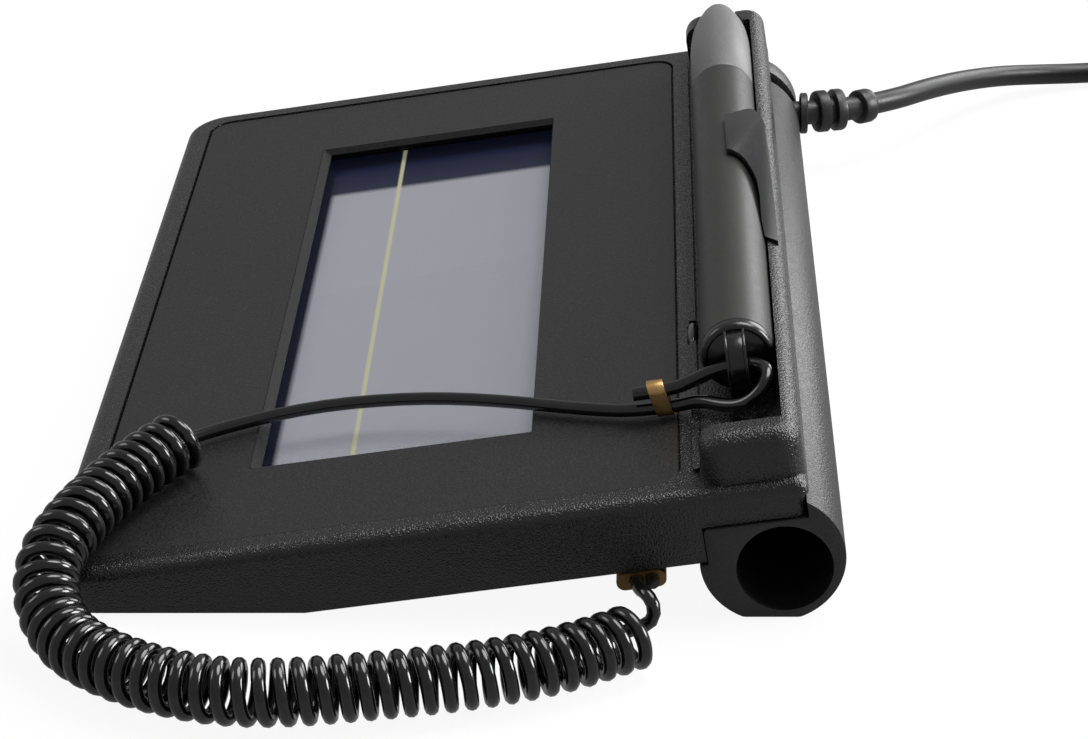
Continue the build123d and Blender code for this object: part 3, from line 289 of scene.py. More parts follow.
# Smooth skins by slot: name, colour, roughness, marks, coat and grain's strength
SMOOTH = {
    "gasket": ("foam strip", (0.008, 0.008, 0.009), 0.8),
    "white_plastic": ("white plastic", (0.75, 0.75, 0.73), 0.45),
    "flex": ("amber film", (0.5, 0.24, 0.05), 0.35),
    "board": ("circuit board", (0.02, 0.12, 0.045), 0.35, 0.5, 0.3),
    "chip": ("component bodies", (0.012, 0.012, 0.013), 0.5),
    "connector": ("pale connector", (0.66, 0.62, 0.54), 0.5),
    "gloss_grey": ("polished button", (0.02, 0.019, 0.02), 0.16, 0.5, 0.6),
    "tie": ("tie skin", (0.012, 0.012, 0.013), 0.45),
    "tether": ("tether jacket", "cord", 0.17, 0.35, 0.25, 0.05),
    "nib": ("nib", (0.02, 0.02, 0.02), 0.35),
    "pen_gloss": ("glossy cap", "pen_gloss", 0.24, 0.5, 0.15),
    "pen_ring": ("glossy ring", (0.01, 0.01, 0.0105), 0.2, 0.5, 0.4),
}
# Bare metals by slot: name, colour and roughness
METALS = {
    "frame_metal": ("pressed frame", (0.6, 0.6, 0.61), 0.35),
    "screw_steel": ("plain steel", (0.5, 0.5, 0.5), 0.32),
    "ferrule": ("crimped brass", "brass", 0.36),
    "dull_ferrule": ("dull brass", (0.2, 0.125, 0.055), 0.45),
    "plug_metal": ("plated shell", (0.62, 0.62, 0.62), 0.22),
}

# Lamps: name, place, what it faces, size and watts
LAMPS = (
    ("key", (-0.2, 0.3, 0.8), (0, 0.02, 0), 0.6, 6.5),
    ("right", (0.0, 0.85, 0.36), (0, 0.04, 0.01), 0.4, 7.5),
    ("far right", (-0.8, 0.65, 0.36), (0, 0.04, 0.01), 0.6, 5.0),
    ("left", (-0.1, -0.7, 0.5), (0, 0, 0), 0.4, 1.2),
)
# The white floor and backdrop: how much of them is mirrored, and how bright they are
FLOOR_MIRRORED = 0.35
FLOOR_GLOW = 1.12
FLOOR_WHITE = 0.82
WORLD_MIRRORED = 0.25
WORLD_LIGHT = 0.14


def colour_property(name, words, default):
    return FloatVectorProperty(
        name=name, description=words, subtype="COLOR", size=3, min=0, max=1, default=default
    )


def length_property(name, words, default):
    return FloatProperty(name=name, description=words, default=default, min=0, unit="LENGTH")


class PadColours(bpy.types.PropertyGroup):
    case: colour_property("Case", "Moulded cases", (0.0066, 0.0066, 0.0073))
    plate: colour_property("Face plate", "Satin plate round the window", (0.0108, 0.0104, 0.0104))
    tube: colour_property("Rear tube", "Tube along the back edge", (0.014, 0.014, 0.0145))
    pen_barrel: colour_property("Pen barrel", "Dark barrel", (0.017, 0.0165, 0.016))
    pen_nose: colour_property("Pen nose", "Mid grey nose", (0.125, 0.122, 0.124))
    pen_gloss: colour_property("Pen cap", "Glossy cap and lug", (0.006, 0.006, 0.0065))
    clip: colour_property("Clip", "Springy clip's head", (0.016, 0.0155, 0.016))
    # Painted shade: the sloping blade is given a darker, bluer colour because less light falls on
    # it than on the head
    clip_blade: colour_property("Clip blade", "Sloping part of the clip", (0.005, 0.0052, 0.0065))
    cord: colour_property("Tether", "Glossy curly cord", (0.0045, 0.0045, 0.005))
    cable: colour_property("Cable", "Flexible jacket", (0.012, 0.012, 0.0125))
    brass: colour_property("Ferrules", "Crimped sleeves", (0.46, 0.29, 0.12))
    # The screen's far and near colours are painted light: a dark reflection and shade of the
    # window's walls at the far end, and a pale reflection of the bright studio at the near end
    screen_deep: colour_property("Screen, far", "Deep end of the screen", (0.012, 0.016, 0.05))
    screen_pale: colour_property("Screen, near", "Pale end of the screen", (0.46, 0.462, 0.52))
    sign_line: colour_property("Sign line", "Line to sign on", (0.66, 0.66, 0.43))


class PadSizes(bpy.types.PropertyGroup):
    tether_wire: length_property("Tether", "Diameter of the tether", 0.002)
    curl_radius: length_property("Curl radius", "From the axis to the wire's middle", 0.0037)
    curl_turns: IntProperty(name="Curls", description="Turns of the curly cord", default=49, min=4)
    cable_wire: length_property("Cable", "Diameter of the cable", 0.00396)
    coil_radius: length_property("Coil radius", "Outer turn of the put-away coil", 0.0291)
    coil_pitch: length_property("Coil pitch", "Between turns of the put-away coil", 0.0045)
    coil_rise: length_property("Coil rise", "Middle of the lowest turns", 0.0029)


def pad_colours():
    return bpy.context.scene.pad_colours


def pad_sizes():
    return bpy.context.scene.pad_sizes


def on_deck(along, back, height):
    """A point of the frame, from its place on the tilted deck."""
    return DECK_ORIGIN + ALONG * along + DECK_BACK * back + DECK_UP * height


def clip_place(along, back, height):
    """A point of the frame, from its place beside the pen's line in millimetres."""
    return on_deck(along * MM, PEN_BACK + back * MM, height * MM)


# Materials


def feed(tree, socket, value):
    """Sets a socket to a number or a colour, or links another socket to it."""
    if isinstance(value, (int, float)):
        socket.default_value = value
    elif isinstance(value, (tuple, Color)):
        socket.default_value = (*value, 1)
    else:
        tree.links.new(value, socket)


def node_of(tree, kind):
    """The first node of a kind."""
    return next(node for node in tree.nodes if node.type == kind)


def noise(tree, place, size, detail=2.0, roughness=0.5):
    """A noise pattern."""
    texture = tree.nodes.new("ShaderNodeTexNoise")
    tree.links.new(place, texture.inputs["Vector"])
    for socket, value in (("Scale", size), ("Detail", detail), ("Roughness", roughness)):
        feed(tree, texture.inputs[socket], value)
    return texture.outputs["Fac"]


def math_node(tree, operation, first, second, clamp=False):
    """A math node on two sockets or values."""
    node = tree.nodes.new("ShaderNodeMath")
    node.operation = operation
    node.use_clamp = clamp
    feed(tree, node.inputs[0], first)
    feed(tree, node.inputs[1], second)
    return node.outputs[0]


def spread(tree, value, low, high, to_low=0.0, to_high=1.0):
    """Maps a value from one range to another, held at the ends."""
    node = tree.nodes.new("ShaderNodeMapRange")
    tree.links.new(value, node.inputs["Value"])
    sockets = ("From Min", "From Max", "To Min", "To Max")
    for socket, number in zip(sockets, (low, high, to_low, to_high)):
        node.inputs[socket].default_value = number
    return node.outputs["Result"]


def distance(tree, place, way, start=Vector()):
    """How far the place is along a way from its start."""
    node = tree.nodes.new("ShaderNodeVectorMath")
    node.operation = "DOT_PRODUCT"
    node.inputs[1].default_value = way
    tree.links.new(place, node.inputs[0])
    return math_node(tree, "SUBTRACT", node.outputs["Value"], start.dot(way))


def vary(tree, pattern, low, high):
    """Maps the usual range of a noise pattern to values between two ends."""
    return spread(tree, pattern, *NOISE_RANGE, low, high)


def between(tree, value, ends, fade):
    """1 between two ends and 0 outside them, with soft edges inside."""
    low, high = ends
    rising = spread(tree, value, low, low + fade)
    falling = spread(tree, value, high, high - fade)
    return math_node(tree, "MULTIPLY", rising, falling)


def blend_colours(tree, kind, factor, first, second):
    """Mixes two colours."""
    node = tree.nodes.new("ShaderNodeMix")
    node.data_type = "RGBA"
    node.blend_type = kind
    for name, value in (("Factor", factor), ("A", first), ("B", second)):
        socket = next(item for item in node.inputs if item.name == name and item.enabled)
        feed(tree, socket, value)
    return next(item for item in node.outputs if item.enabled)


def skin_group(name, extra):
    """An empty node group for a skin: place, colour, roughness and more in, its pattern out."""
    group = bpy.data.node_groups.new(name, "ShaderNodeTree")
    inputs = (("Place", "Vector"), ("Colour", "Color"), ("Roughness", "Float")) + extra
    outputs = (("Colour", "Color"), ("Roughness", "Float"), ("Height", "Float"))
    for way, sockets in (("INPUT", inputs), ("OUTPUT", outputs)):
        for socket, kind in sockets:
            group.interface.new_socket(socket, in_out=way, socket_type="NodeSocket" + kind)
    start, end = group.nodes.new("NodeGroupInput"), group.nodes.new("NodeGroupOutput")
    return group, start.outputs, end.inputs


def moulded_group():
    """Moulded plastic: a fine pitted grain, slow tone changes, and pale dust in the grain."""
    tree, given, made = skin_group("moulded plastic", (("Grain", "Float"), ("Dust", "Float")))
    place = given["Place"]
    grain = noise(tree, place, given["Grain"], 1.0)
    slow = noise(tree, place, 38.0, 3.0, 0.55)
    middle = noise(tree, place, 420.0)
    specks = noise(tree, place, 5200.0, 1.0, 0.4)
    tone = math_node(
        tree, "MULTIPLY", vary(tree, slow, 0.96, 1.04), vary(tree, grain, 0.8, 1.25)
    )
    toned = blend_colours(tree, "MULTIPLY", 1.0, given["Colour"], tone)
    dust = math_node(tree, "MULTIPLY", spread(tree, specks, 0.66, 0.74), given["Dust"])
    tree.links.new(blend_colours(tree, "MIX", dust, toned, DUST_COLOUR), made["Colour"])
    total = math_node(tree, "ADD", given["Roughness"], vary(tree, middle, -0.02, 0.02))
    total = math_node(tree, "ADD", total, vary(tree, grain, -0.06, 0.06), True)
    tree.links.new(total, made["Roughness"])
    tree.links.new(grain, made["Height"])
    return tree


def handled_group():
    """A smooth skin with faint rubbed patches and hairline marks along one way."""
    tree, given, made = skin_group("handled skin", (("Marks", "Float"),))
    place = given["Place"]
    stretch = tree.nodes.new("ShaderNodeMapping")
    stretch.inputs["Scale"].default_value = HAIRLINES
    tree.links.new(place, stretch.inputs["Vector"])
    hairs = noise(tree, stretch.outputs["Vector"], 1.0, 2.0, 0.6)
    patches = noise(tree, place, 160.0, 3.0, 0.6)
    grain = noise(tree, place, 3200.0, 1.0)
    marks = spread(tree, hairs, 0.55, 0.75, 0.0, 0.14)
    marks = math_node(tree, "MULTIPLY", marks, given["Marks"])
    rubbed = spread(tree, patches, 0.35, 0.7, -0.05, 0.08)
    total = math_node(tree, "ADD", given["Roughness"], rubbed)
    total = math_node(tree, "ADD", total, marks, True)
    tree.links.new(total, made["Roughness"])
    tone = vary(tree, patches, 0.88, 1.14)
    toned = blend_colours(tree, "MULTIPLY", 1.0, given["Colour"], tone)
    tree.links.new(toned, made["Colour"])
    tree.links.new(grain, made["Height"])
    return tree


def new_material(name):
    """A material with its node tree, its shader, and where its patterns are read."""
    material = bpy.data.materials.new(name)
    material.use_nodes = True
    tree = material.node_tree
    place = tree.nodes.new("ShaderNodeTexCoord").outputs["Object"]
    return material, tree, node_of(tree, "BSDF_PRINCIPLED"), place


def add_bump(tree, shader, height, strength, distance):
    """Turns a height into the shader's normal."""
    bump = tree.nodes.new("ShaderNodeBump")
    bump.inputs["Strength"].default_value = strength
    bump.inputs["Distance"].default_value = distance
    tree.links.new(height, bump.inputs["Height"])
    tree.links.new(bump.outputs["Normal"], shader.inputs["Normal"])


def skin_material(name, group, colour, bump, **values):
    """A material from a skin group, with the group's values and the bump's strength and depth."""
    material, tree, shader, place = new_material(name)
    skin = tree.nodes.new("ShaderNodeGroup")
    skin.node_tree = group
    tree.links.new(place, skin.inputs["Place"])
    if isinstance(colour, str):
        colour = getattr(pad_colours(), colour)
    feed(tree, skin.inputs["Colour"], colour)
    for socket, value in values.items():
        skin.inputs[socket].default_value = value
    tree.links.new(skin.outputs["Colour"], shader.inputs["Base Color"])
    tree.links.new(skin.outputs["Roughness"], shader.inputs["Roughness"])
    add_bump(tree, shader, skin.outputs["Height"], *bump)
    return material, shader


def moulded(group, name, colour, roughness, grain, depth, strength, dust, gloss):
    """A grained moulded plastic."""
    material, shader = skin_material(
        name, group, colour, (strength, depth), Roughness=roughness, Grain=grain, Dust=dust
    )
    shader.inputs["Specular IOR Level"].default_value = gloss
    return material


def handled(group, name, colour, roughness, marks=0.5, coat=0.0, strength=0.15, metallic=0.0):
    """A smooth plastic, rubber or metal with the faint marks of use."""
    material, shader = skin_material(
        name, group, colour, (strength, SKIN_DEPTH), Roughness=roughness, Marks=marks
    )
    shader.inputs["Metallic"].default_value = metallic
    shader.inputs["Coat Weight"].default_value = coat
    return material


def screen_material():
    """The display: a painted dark reflection and shade at its far end, fading to a painted pale
    reflection of the studio at its near end, and a line to sign on.
    """
    colours = pad_colours()
    material, tree, shader, place = new_material("screen")
    along = distance(tree, place, ALONG)
    back = distance(tree, place, DECK_BACK, DECK_ORIGIN)
    slow = noise(tree, place, 18.0)
    # Painted light: the far end's dark reflection and shade fades into the pale reflection of the
    # studio towards the near end
    reflection_wander = vary(tree, slow, -DARK_REFLECTION_WANDER, DARK_REFLECTION_WANDER)
    fade = spread(tree, math_node(tree, "ADD", along, reflection_wander), *DARK_REFLECTION_END)
    fade = math_node(tree, "POWER", fade, 1.1)
    body = blend_colours(tree, "MIX", fade, colours.screen_deep, colours.screen_pale)
    # Fine dot rows of the display
    rows = tree.nodes.new("ShaderNodeTexWave")
    rows.bands_direction = "X"
    rows.inputs["Scale"].default_value = DOT_ROWS
    tree.links.new(place, rows.inputs["Vector"])
    row_tone = spread(tree, rows.outputs["Fac"], 0.0, 1.0, 0.985, 1.0)
    body = blend_colours(tree, "MULTIPLY", 1.0, body, row_tone)
    # The dark border round the lit area, and the line to sign on
    lit_along = between(tree, along, LIT_ALONG, LIT_FADE)
    lit_back = between(tree, back, LIT_BACK, LIT_FADE)
    lit = math_node(tree, "MULTIPLY", lit_along, lit_back)
    body = blend_colours(tree, "MIX", lit, BORDER_COLOUR, body)
    line = between(tree, back, SIGN_LINE, SIGN_FADE)
    body = blend_colours(tree, "MIX", line, body, colours.sign_line)
    # Painted glow: the painted reflection is dimmed as base colour and also given off as light, so
    # the screen shines by itself and the lead's shadow fades on it
    dimmed = blend_colours(tree, "MULTIPLY", 1.0, body, (0.45, 0.45, 0.45))
    tree.links.new(dimmed, shader.inputs["Base Color"])
    tree.links.new(body, shader.inputs["Emission Color"])
    shader.inputs["Emission Strength"].default_value = 0.4
    shader.inputs["Roughness"].default_value = 0.42
    shader.inputs["Specular IOR Level"].default_value = 0.3
    add_bump(tree, shader, slow, *GLASS_BUMP)
    return material


def clear_material():
    """The clear touch layer over the screen, with faint smears."""
    material, tree, shader, place = new_material("clear layer")
    smears = noise(tree, place, 90.0, 3.0, 0.6)
    tree.links.new(spread(tree, smears, 0.3, 0.75, 0.04, 0.16), shader.inputs["Roughness"])
    shader.inputs["Base Color"].default_value = (0.01, 0.012, 0.02, 1)
    shader.inputs["Alpha"].default_value = 0.14
    shader.inputs["IOR"].default_value = 1.45
    add_bump(tree, shader, smears, *GLASS_BUMP)
    return material


def paint_blade_shade(material):
    """Paints shade on the clip: its skin is darker and bluer past the bend of its top, where the
    sloping blade gets less light.
    """
    colours = pad_colours()
    tree = material.node_tree
    bend = [clip_place(*point, CLIP_HIGH) for point in CLIP_BEND]
    across = (bend[1] - bend[0]).cross(UP).normalized()
    if across.x < 0:
        across = -across
    place = node_of(tree, "TEX_COORD").outputs["Object"]
    # Painted shade: 0 on the head and 1 on the sloping blade past the bend
    share = spread(tree, distance(tree, place, across, bend[0]), -0.0001, 0.0002)
    toned = blend_colours(tree, "MIX", share, colours.clip, colours.clip_blade)
    tree.links.new(toned, node_of(tree, "GROUP").inputs["Colour"])


FINISHES = {}


def make_finishes():
    """Every finish, by the slot that it stands for in the record."""
    grain, skin = moulded_group(), handled_group()
    for slot, values in GRAINED.items():
        FINISHES[slot] = moulded(grain, *values)
    for slot, values in SMOOTH.items():
        FINISHES[slot] = handled(skin, *values)
    for slot, values in METALS.items():
        FINISHES[slot] = handled(skin, *values, marks=1.0, strength=0.25, metallic=1.0)
    FINISHES["touch_glass"] = clear_material()
    FINISHES["display"] = screen_material()
    paint_blade_shade(FINISHES["clip"])


def dress(obj, slot):
    """Puts a finish on an object in place of what it had."""
    obj.data.materials.clear()
    obj.data.materials.append(FINISHES[slot])


# Modelling helpers


def start_piece():
    """Leaves edit mode and deselects everything."""
    if bpy.context.object and bpy.context.object.mode != "OBJECT":
        bpy.ops.object.mode_set(mode="OBJECT")
    bpy.ops.object.select_all(action="DESELECT")


def only(obj):
    """Selects one object and makes it the active one."""
    start_piece()
    obj.select_set(True)
    bpy.context.view_layer.objects.active = obj


def open_mesh(obj):
    """Opens an object's mesh for editing, with all of it selected."""
    only(obj)
    bpy.ops.object.mode_set(mode="EDIT")
    bpy.ops.mesh.select_all(action="SELECT")


def close_mesh():
    """Turns every face of the open mesh outwards and leaves edit mode."""
    bpy.ops.mesh.select_all(action="SELECT")
    bpy.ops.mesh.normals_make_consistent(inside=False)
    bpy.ops.object.mode_set(mode="OBJECT")


def apply_place(obj):
    """Moves an object's place, turn and size into its mesh."""
    only(obj)
    bpy.ops.object.transform_apply(location=True, rotation=True, scale=True)


def add_modifier(obj, kind, **values):
    """Adds a modifier with its values and applies it."""
    only(obj)
    modifier = obj.modifiers.new(kind.title(), kind)
    for name, value in values.items():
        setattr(modifier, name, value)
    bpy.ops.object.modifier_apply(modifier=modifier.name)


def settle(obj, name, body, slot, replaced=(), sharp=40):
    """Finishes a piece: its name, shading, finish, body and the nodes that it stands for."""
    obj.name = name
    obj.data.name = name
    apply_place(obj)
    bpy.ops.object.shade_smooth_by_angle(angle=radians(sharp))
    dress(obj, slot)
    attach(obj, body)
    if replaced:
        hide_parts(*replaced)
    return obj


def turned(start, way, profile, sides=48):
    """A turned piece: a disc drawn out along its axis through lengths and radii."""
    start, way = Vector(start), Vector(way)
    length, radius = profile[0]
    centre = start + way * length
    start_piece()
    bpy.ops.mesh.primitive_circle_add(
        vertices=sides,
        radius=radius,
        fill_type="NGON",
        location=centre,
        rotation=UP.rotation_difference(way).to_euler(),
    )
    obj = bpy.context.object
    open_mesh(obj)
    bpy.ops.mesh.flip_normals()
    for length, next_radius in profile[1:]:
        target = start + way * length
        bpy.ops.mesh.extrude_region_move(TRANSFORM_OT_translate={"value": target - centre})
        centre = target
        share = next_radius / radius
        bpy.ops.transform.resize(value=(share, share, share), center_override=centre)
        radius = next_radius
    close_mesh()
    return obj


def drawn_block(points, low, high, to_world):
    """A flat outline, given as two numbers a point, drawn out between two levels."""
    start_piece()
    bpy.ops.mesh.primitive_circle_add(vertices=len(points), radius=1, fill_type="NGON")
    obj = bpy.context.object
    for vertex, point in zip(obj.data.vertices, points):
        vertex.co = to_world(*point, low)
    open_mesh(obj)
    rise = to_world(0, 0, high) - to_world(0, 0, low)
    bpy.ops.mesh.extrude_region_move(TRANSFORM_OT_translate={"value": rise})
    close_mesh()
    return obj


def joined(objects):
    """Joins objects into the first of them."""
    start_piece()
    for obj in objects:
        obj.select_set(True)
    bpy.context.view_layer.objects.active = objects[0]
    bpy.ops.object.join()
    return bpy.context.object


def cut_with(obj, cutter):
    """Takes one closed shape out of another."""
    add_modifier(obj, "BOOLEAN", object=cutter, operation="DIFFERENCE", solver="EXACT")
    bpy.data.objects.remove(cutter, do_unlink=True)


def soften_edges(obj, width, angle=30):
    """Rounds off a piece's sharp edges a little."""
    add_modifier(
        obj,
        "BEVEL",
        width=width,
        segments=2,
        limit_method="ANGLE",
        angle_limit=radians(angle),
        use_clamp_overlap=True,
    )


def in_metres(profile):
    """A profile given in millimetres."""
    return [(length * MM, radius * MM) for length, radius in profile]


def arc_points(centre, radius, start, end, count):
    """Points of an arc from one angle to another."""
    angles = [start + (end - start) * step / count for step in range(count + 1)]
    return [(centre[0] + radius * cos(angle), centre[1] + radius * sin(angle)) for angle in angles]


def rounded_rectangle(centre, half_wide, half_tall, corner, count):
    """Points of a rectangle with rounded corners."""
    points = []
    for turn, (side, rise) in enumerate(((1, 1), (-1, 1), (-1, -1), (1, -1))):
        middle = (
            centre[0] + side * (half_wide - corner),
            centre[1] + rise * (half_tall - corner),
        )
        points += arc_points(middle, corner, turn * pi / 2, (turn + 1) * pi / 2, count)
    return points


# Cords


def spline_curve(name, points, bevel=0.0, sides=3, steps=4):
    """A smooth NURBS curve whose control points are a route's points."""
    data = bpy.data.curves.new(name, "CURVE")
    data.dimensions = "3D"
    data.resolution_u = steps
    data.render_resolution_u = steps
    data.bevel_depth = bevel
    data.bevel_resolution = sides
    data.use_fill_caps = True
    spline = data.splines.new("NURBS")
    spline.points.add(len(points) - 1)
    for point, place in zip(spline.points, points):
        point.co = (*place, 1)
    spline.order_u = 3
    spline.use_endpoint_u = True
    obj = bpy.data.objects.new(name, data)
    bpy.context.scene.collection.objects.link(obj)
    return obj


def line_points(points, steps):
    """The points of a route's smooth line."""
    obj = spline_curve("route", points, steps=steps)
    bpy.context.view_layer.update()
    graph = bpy.context.evaluated_depsgraph_get()
    mesh = bpy.data.meshes.new_from_object(obj.evaluated_get(graph))
    places = [vertex.co.copy() for vertex in mesh.vertices]
    bpy.data.meshes.remove(mesh)
    bpy.data.objects.remove(obj, do_unlink=True)
    return places


def lengths_along(places):
    """How far each point is along its line."""
    marks = [0.0]
    for before, after in zip(places, places[1:]):
        marks.append(marks[-1] + (after - before).length)
    return marks


def place_at(places, marks, wanted):
    """The point and heading at a length along a line."""
    low, high = 0, len(marks) - 1
    while high - low > 1:
        middle = (low + high) // 2
        low, high = (middle, high) if marks[middle] <= wanted else (low, middle)
    part_way = (wanted - marks[low]) / max(marks[high] - marks[low], 1e-9)
    heading = places[min(high + 1, len(places) - 1)] - places[max(low - 1, 0)]
    return places[low].lerp(places[high], min(max(part_way, 0), 1)), heading.normalized()


def curl_points(axis_route, radius, turns, per_turn=16):
    """The curly cord's points: a helix about the smooth line of its axis."""
    places = line_points(axis_route, 24)
    marks = lengths_along(places)
    drawn_radius = radius / (0.5 + 0.5 * cos(pi / per_turn))
    points = []
    for step in range(turns * per_turn + 1):
        centre, way = place_at(places, marks, marks[-1] * step / (turns * per_turn))
        side = UP.cross(way).normalized()
        rise = way.cross(side)
        angle = 2 * pi * step / per_turn - pi / 2
        points.append(centre + (side * cos(angle) + rise * sin(angle)) * drawn_radius)
    return points


def coil_points(per_turn=16):
    """The put-away cable's turns: a spiral in and out that climbs where it reverses."""
    sizes = pad_sizes()
    pitch = sizes.coil_pitch
    layer_turns = (COIL_TURNS - (COIL_LAYERS - 1) / 2) / COIL_LAYERS
    points = []
    for step in range(round(COIL_TURNS * per_turn) + 1):
        turn = step / per_turn
        radius = sizes.coil_radius - pitch * turn
        rise = sizes.coil_rise
        for layer in range(1, COIL_LAYERS):
            reversal = layer * (layer_turns + 0.5) - 0.25
            radius += 2 * pitch * max(turn - reversal, 0) * (1 if layer % 2 else -1)
            rise += pitch * min(max((turn - reversal + 0.25) / 0.5, 0), 1)
        angle = pi - 2 * pi * turn
        points.append(COIL_CENTRE + Vector((radius * cos(angle), radius * sin(angle), rise)))
    return points


def level(way):
    """A heading without its rise."""
    return Vector((way.x, way.y, 0)).normalized()


def meshed(obj):
    """Turns a curve into a mesh and smooths it."""
    only(obj)
    bpy.ops.object.convert(target="MESH")
    bpy.ops.object.shade_smooth()
    return bpy.context.object


# Operators


class PAD_OT_stage(bpy.types.Operator):
    """Camera at the photograph's angle, plain floor, backdrop and soft lamps"""

    bl_idname = "pad.stage"
    bl_label = "Stage"

    def execute(self, context):
        context.scene.view_settings.view_transform = "Standard"
        self.place_camera(context.scene)
        self.lay_floor(context)
        self.light_world(context.scene)
        for lamp in LAMPS:
            self.hang_lamp(*lamp)
        return {"FINISHED"}

    def place_camera(self, scene):
        """The photograph's view: over the pad's right end, a little rolled."""
        flat = cos(CAMERA_DROP)
        way = Vector((-flat * cos(CAMERA_YAW), -flat * sin(CAMERA_YAW), -sin(CAMERA_DROP)))
        data = bpy.data.cameras.new("view")
        data.lens = CAMERA_LENS
        data.sensor_width = 36
        data.sensor_fit = "HORIZONTAL"
        data.clip_start = 0.01
        camera = bpy.data.objects.new("view", data)
        scene.collection.objects.link(camera)
        turn = way.to_track_quat("-Z", "Y").to_matrix().to_4x4()
        roll = Matrix.Rotation(CAMERA_ROLL, 4, "Z")
        camera.matrix_world = Matrix.Translation(CAMERA_PLACE) @ turn @ roll
        scene.camera = camera

    def lay_floor(self, context):
        """A floor that looks white and keeps its shadows."""
        start_piece()
        bpy.ops.mesh.primitive_plane_add(size=6, location=(0, 0, -0.0002))
        floor = context.object
        floor.name = "floor"
        material = bpy.data.materials.new("floor")
        material.use_nodes = True
        tree = material.node_tree
        shader = node_of(tree, "BSDF_PRINCIPLED")
        shader.inputs["Base Color"].default_value = (0.45, 0.45, 0.45, 1)
        shader.inputs["Roughness"].default_value = 0.9
        glow = tree.nodes.new("ShaderNodeEmission")
        mix = tree.nodes.new("ShaderNodeMixShader")
        seen = self.seen(tree, FLOOR_MIRRORED)
        tree.links.new(spread(tree, seen, 0.0, 1.0, 0.0, FLOOR_GLOW), glow.inputs["Strength"])
        tree.links.new(spread(tree, seen, 0.1, 0.2, 0.0, FLOOR_WHITE), mix.inputs[0])
        tree.links.new(shader.outputs[0], mix.inputs[1])
        tree.links.new(glow.outputs[0], mix.inputs[2])
        tree.links.new(mix.outputs[0], node_of(tree, "OUTPUT_MATERIAL").inputs["Surface"])
        floor.data.materials.append(material)

    def light_world(self, scene):
        """A backdrop that looks white and lights little."""
        world = bpy.data.worlds.new("studio")
        scene.world = world
        world.use_nodes = True
        tree = world.node_tree
        background = node_of(tree, "BACKGROUND")
        background.inputs["Color"].default_value = (1, 1, 1, 1)
        strength = spread(tree, self.seen(tree, WORLD_MIRRORED), 0.0, 1.0, WORLD_LIGHT, 1.0)
        tree.links.new(strength, background.inputs["Strength"])

    def seen(self, tree, mirrored):
        """1 for camera and see-through rays, a share for glossy ones, and 0 for the rest."""
        rays = tree.nodes.new("ShaderNodeLightPath").outputs
        direct = math_node(tree, "MAXIMUM", rays["Is Camera Ray"], rays["Is Transmission Ray"])
        glossy = math_node(tree, "MULTIPLY", rays["Is Glossy Ray"], mirrored)
        return math_node(tree, "MAXIMUM", direct, glossy)

    def hang_lamp(self, name, place, target, size, watts):
        """A round soft lamp that faces its target."""
        data = bpy.data.lights.new(name, "AREA")
        data.shape = "DISK"
        data.size = size
        data.energy = watts
        lamp = bpy.data.objects.new(name, data)
        lamp.location = place
        way = Vector(target) - Vector(place)
        lamp.rotation_euler = way.to_track_quat("-Z", "Y").to_euler()
        bpy.context.scene.collection.objects.link(lamp)


class PAD_OT_finishes(bpy.types.Operator):
    """Puts each CAD node's finish on it"""

    bl_idname = "pad.finishes"
    bl_label = "Finishes"

    def execute(self, context):
        make_finishes()
        for row in frame["record"]["subparts"]:
            dress(bpy.data.objects[row["node"]], row["material_slot"])
        dress(bpy.data.objects["pad_ferrule"], "dull_ferrule")
        return {"FINISHED"}


class PAD_OT_tether(bpy.types.Operator):
    """The curly tether: turn round the anchor, drop, curls and lead, and the loop on the pen"""

    bl_idname = "pad.tether"
    bl_label = "Tether"

    def execute(self, context):
        sizes = pad_sizes()
        curls = curl_points(CURL_AXIS, sizes.curl_radius, sizes.curl_turns)
        end_way = level(curls[-1] - curls[-2])
        start_way = level(curls[1] - curls[0])
        points = [on_deck(*place) for place in ANCHOR_TURN_ON_DECK]
        points += [Vector(place) for place in DROP_ROUTE]
        points += [curls[-1] + end_way * CURL_LEAD] + curls[::-1]
        points += [curls[0] - start_way * CURL_LEAD]
        points += [on_deck(*place) for place in reversed(LEAD_ON_DECK)]
        obj = meshed(spline_curve("tether_cord", points, sizes.tether_wire / 2, 3, 2))
        dress(obj, "tether")
        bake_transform(obj)
        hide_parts("tether_drop", "tether_coil", "tether_lead")
        lengths_along(line_points(points, 4))[-1]
        line_points(points, 2)

        points = [on_deck(*place) for place in LOOP_ON_DECK]
        path = line_points(points, 8)
        obj = meshed(spline_curve("pen_loop", points, sizes.tether_wire / 2, 4, 8))
        dress(obj, "tether")
        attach(obj, "pen")
        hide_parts("tether_loop")
        return {"FINISHED"}


class PAD_OT_cable(bpy.types.Operator):
    """The cable from the strain relief to its plug, with its put-away coil"""

    bl_idname = "pad.cable"
    bl_label = "Cable"

    def execute(self, context):
        wire = pad_sizes().cable_wire
        coil = coil_points()
        points = [Vector(place) for place in CABLE_ROUTE]
        points += [coil[0] - Vector((0, COIL_LEAD, 0))] + coil
        points += [coil[-1] + Vector((COIL_LEAD, 0, 0))]
        points += [Vector(place) for place in TAIL_ROUTE]
        path = line_points(points, 4)
        obj = meshed(spline_curve("usb_cord", points, wire / 2, 4, 4))
        dress(obj, "cable")
        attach(obj, "pad")
        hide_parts("usb_cable", "usb_cable_coil", "usb_tail")
        return {"FINISHED"}


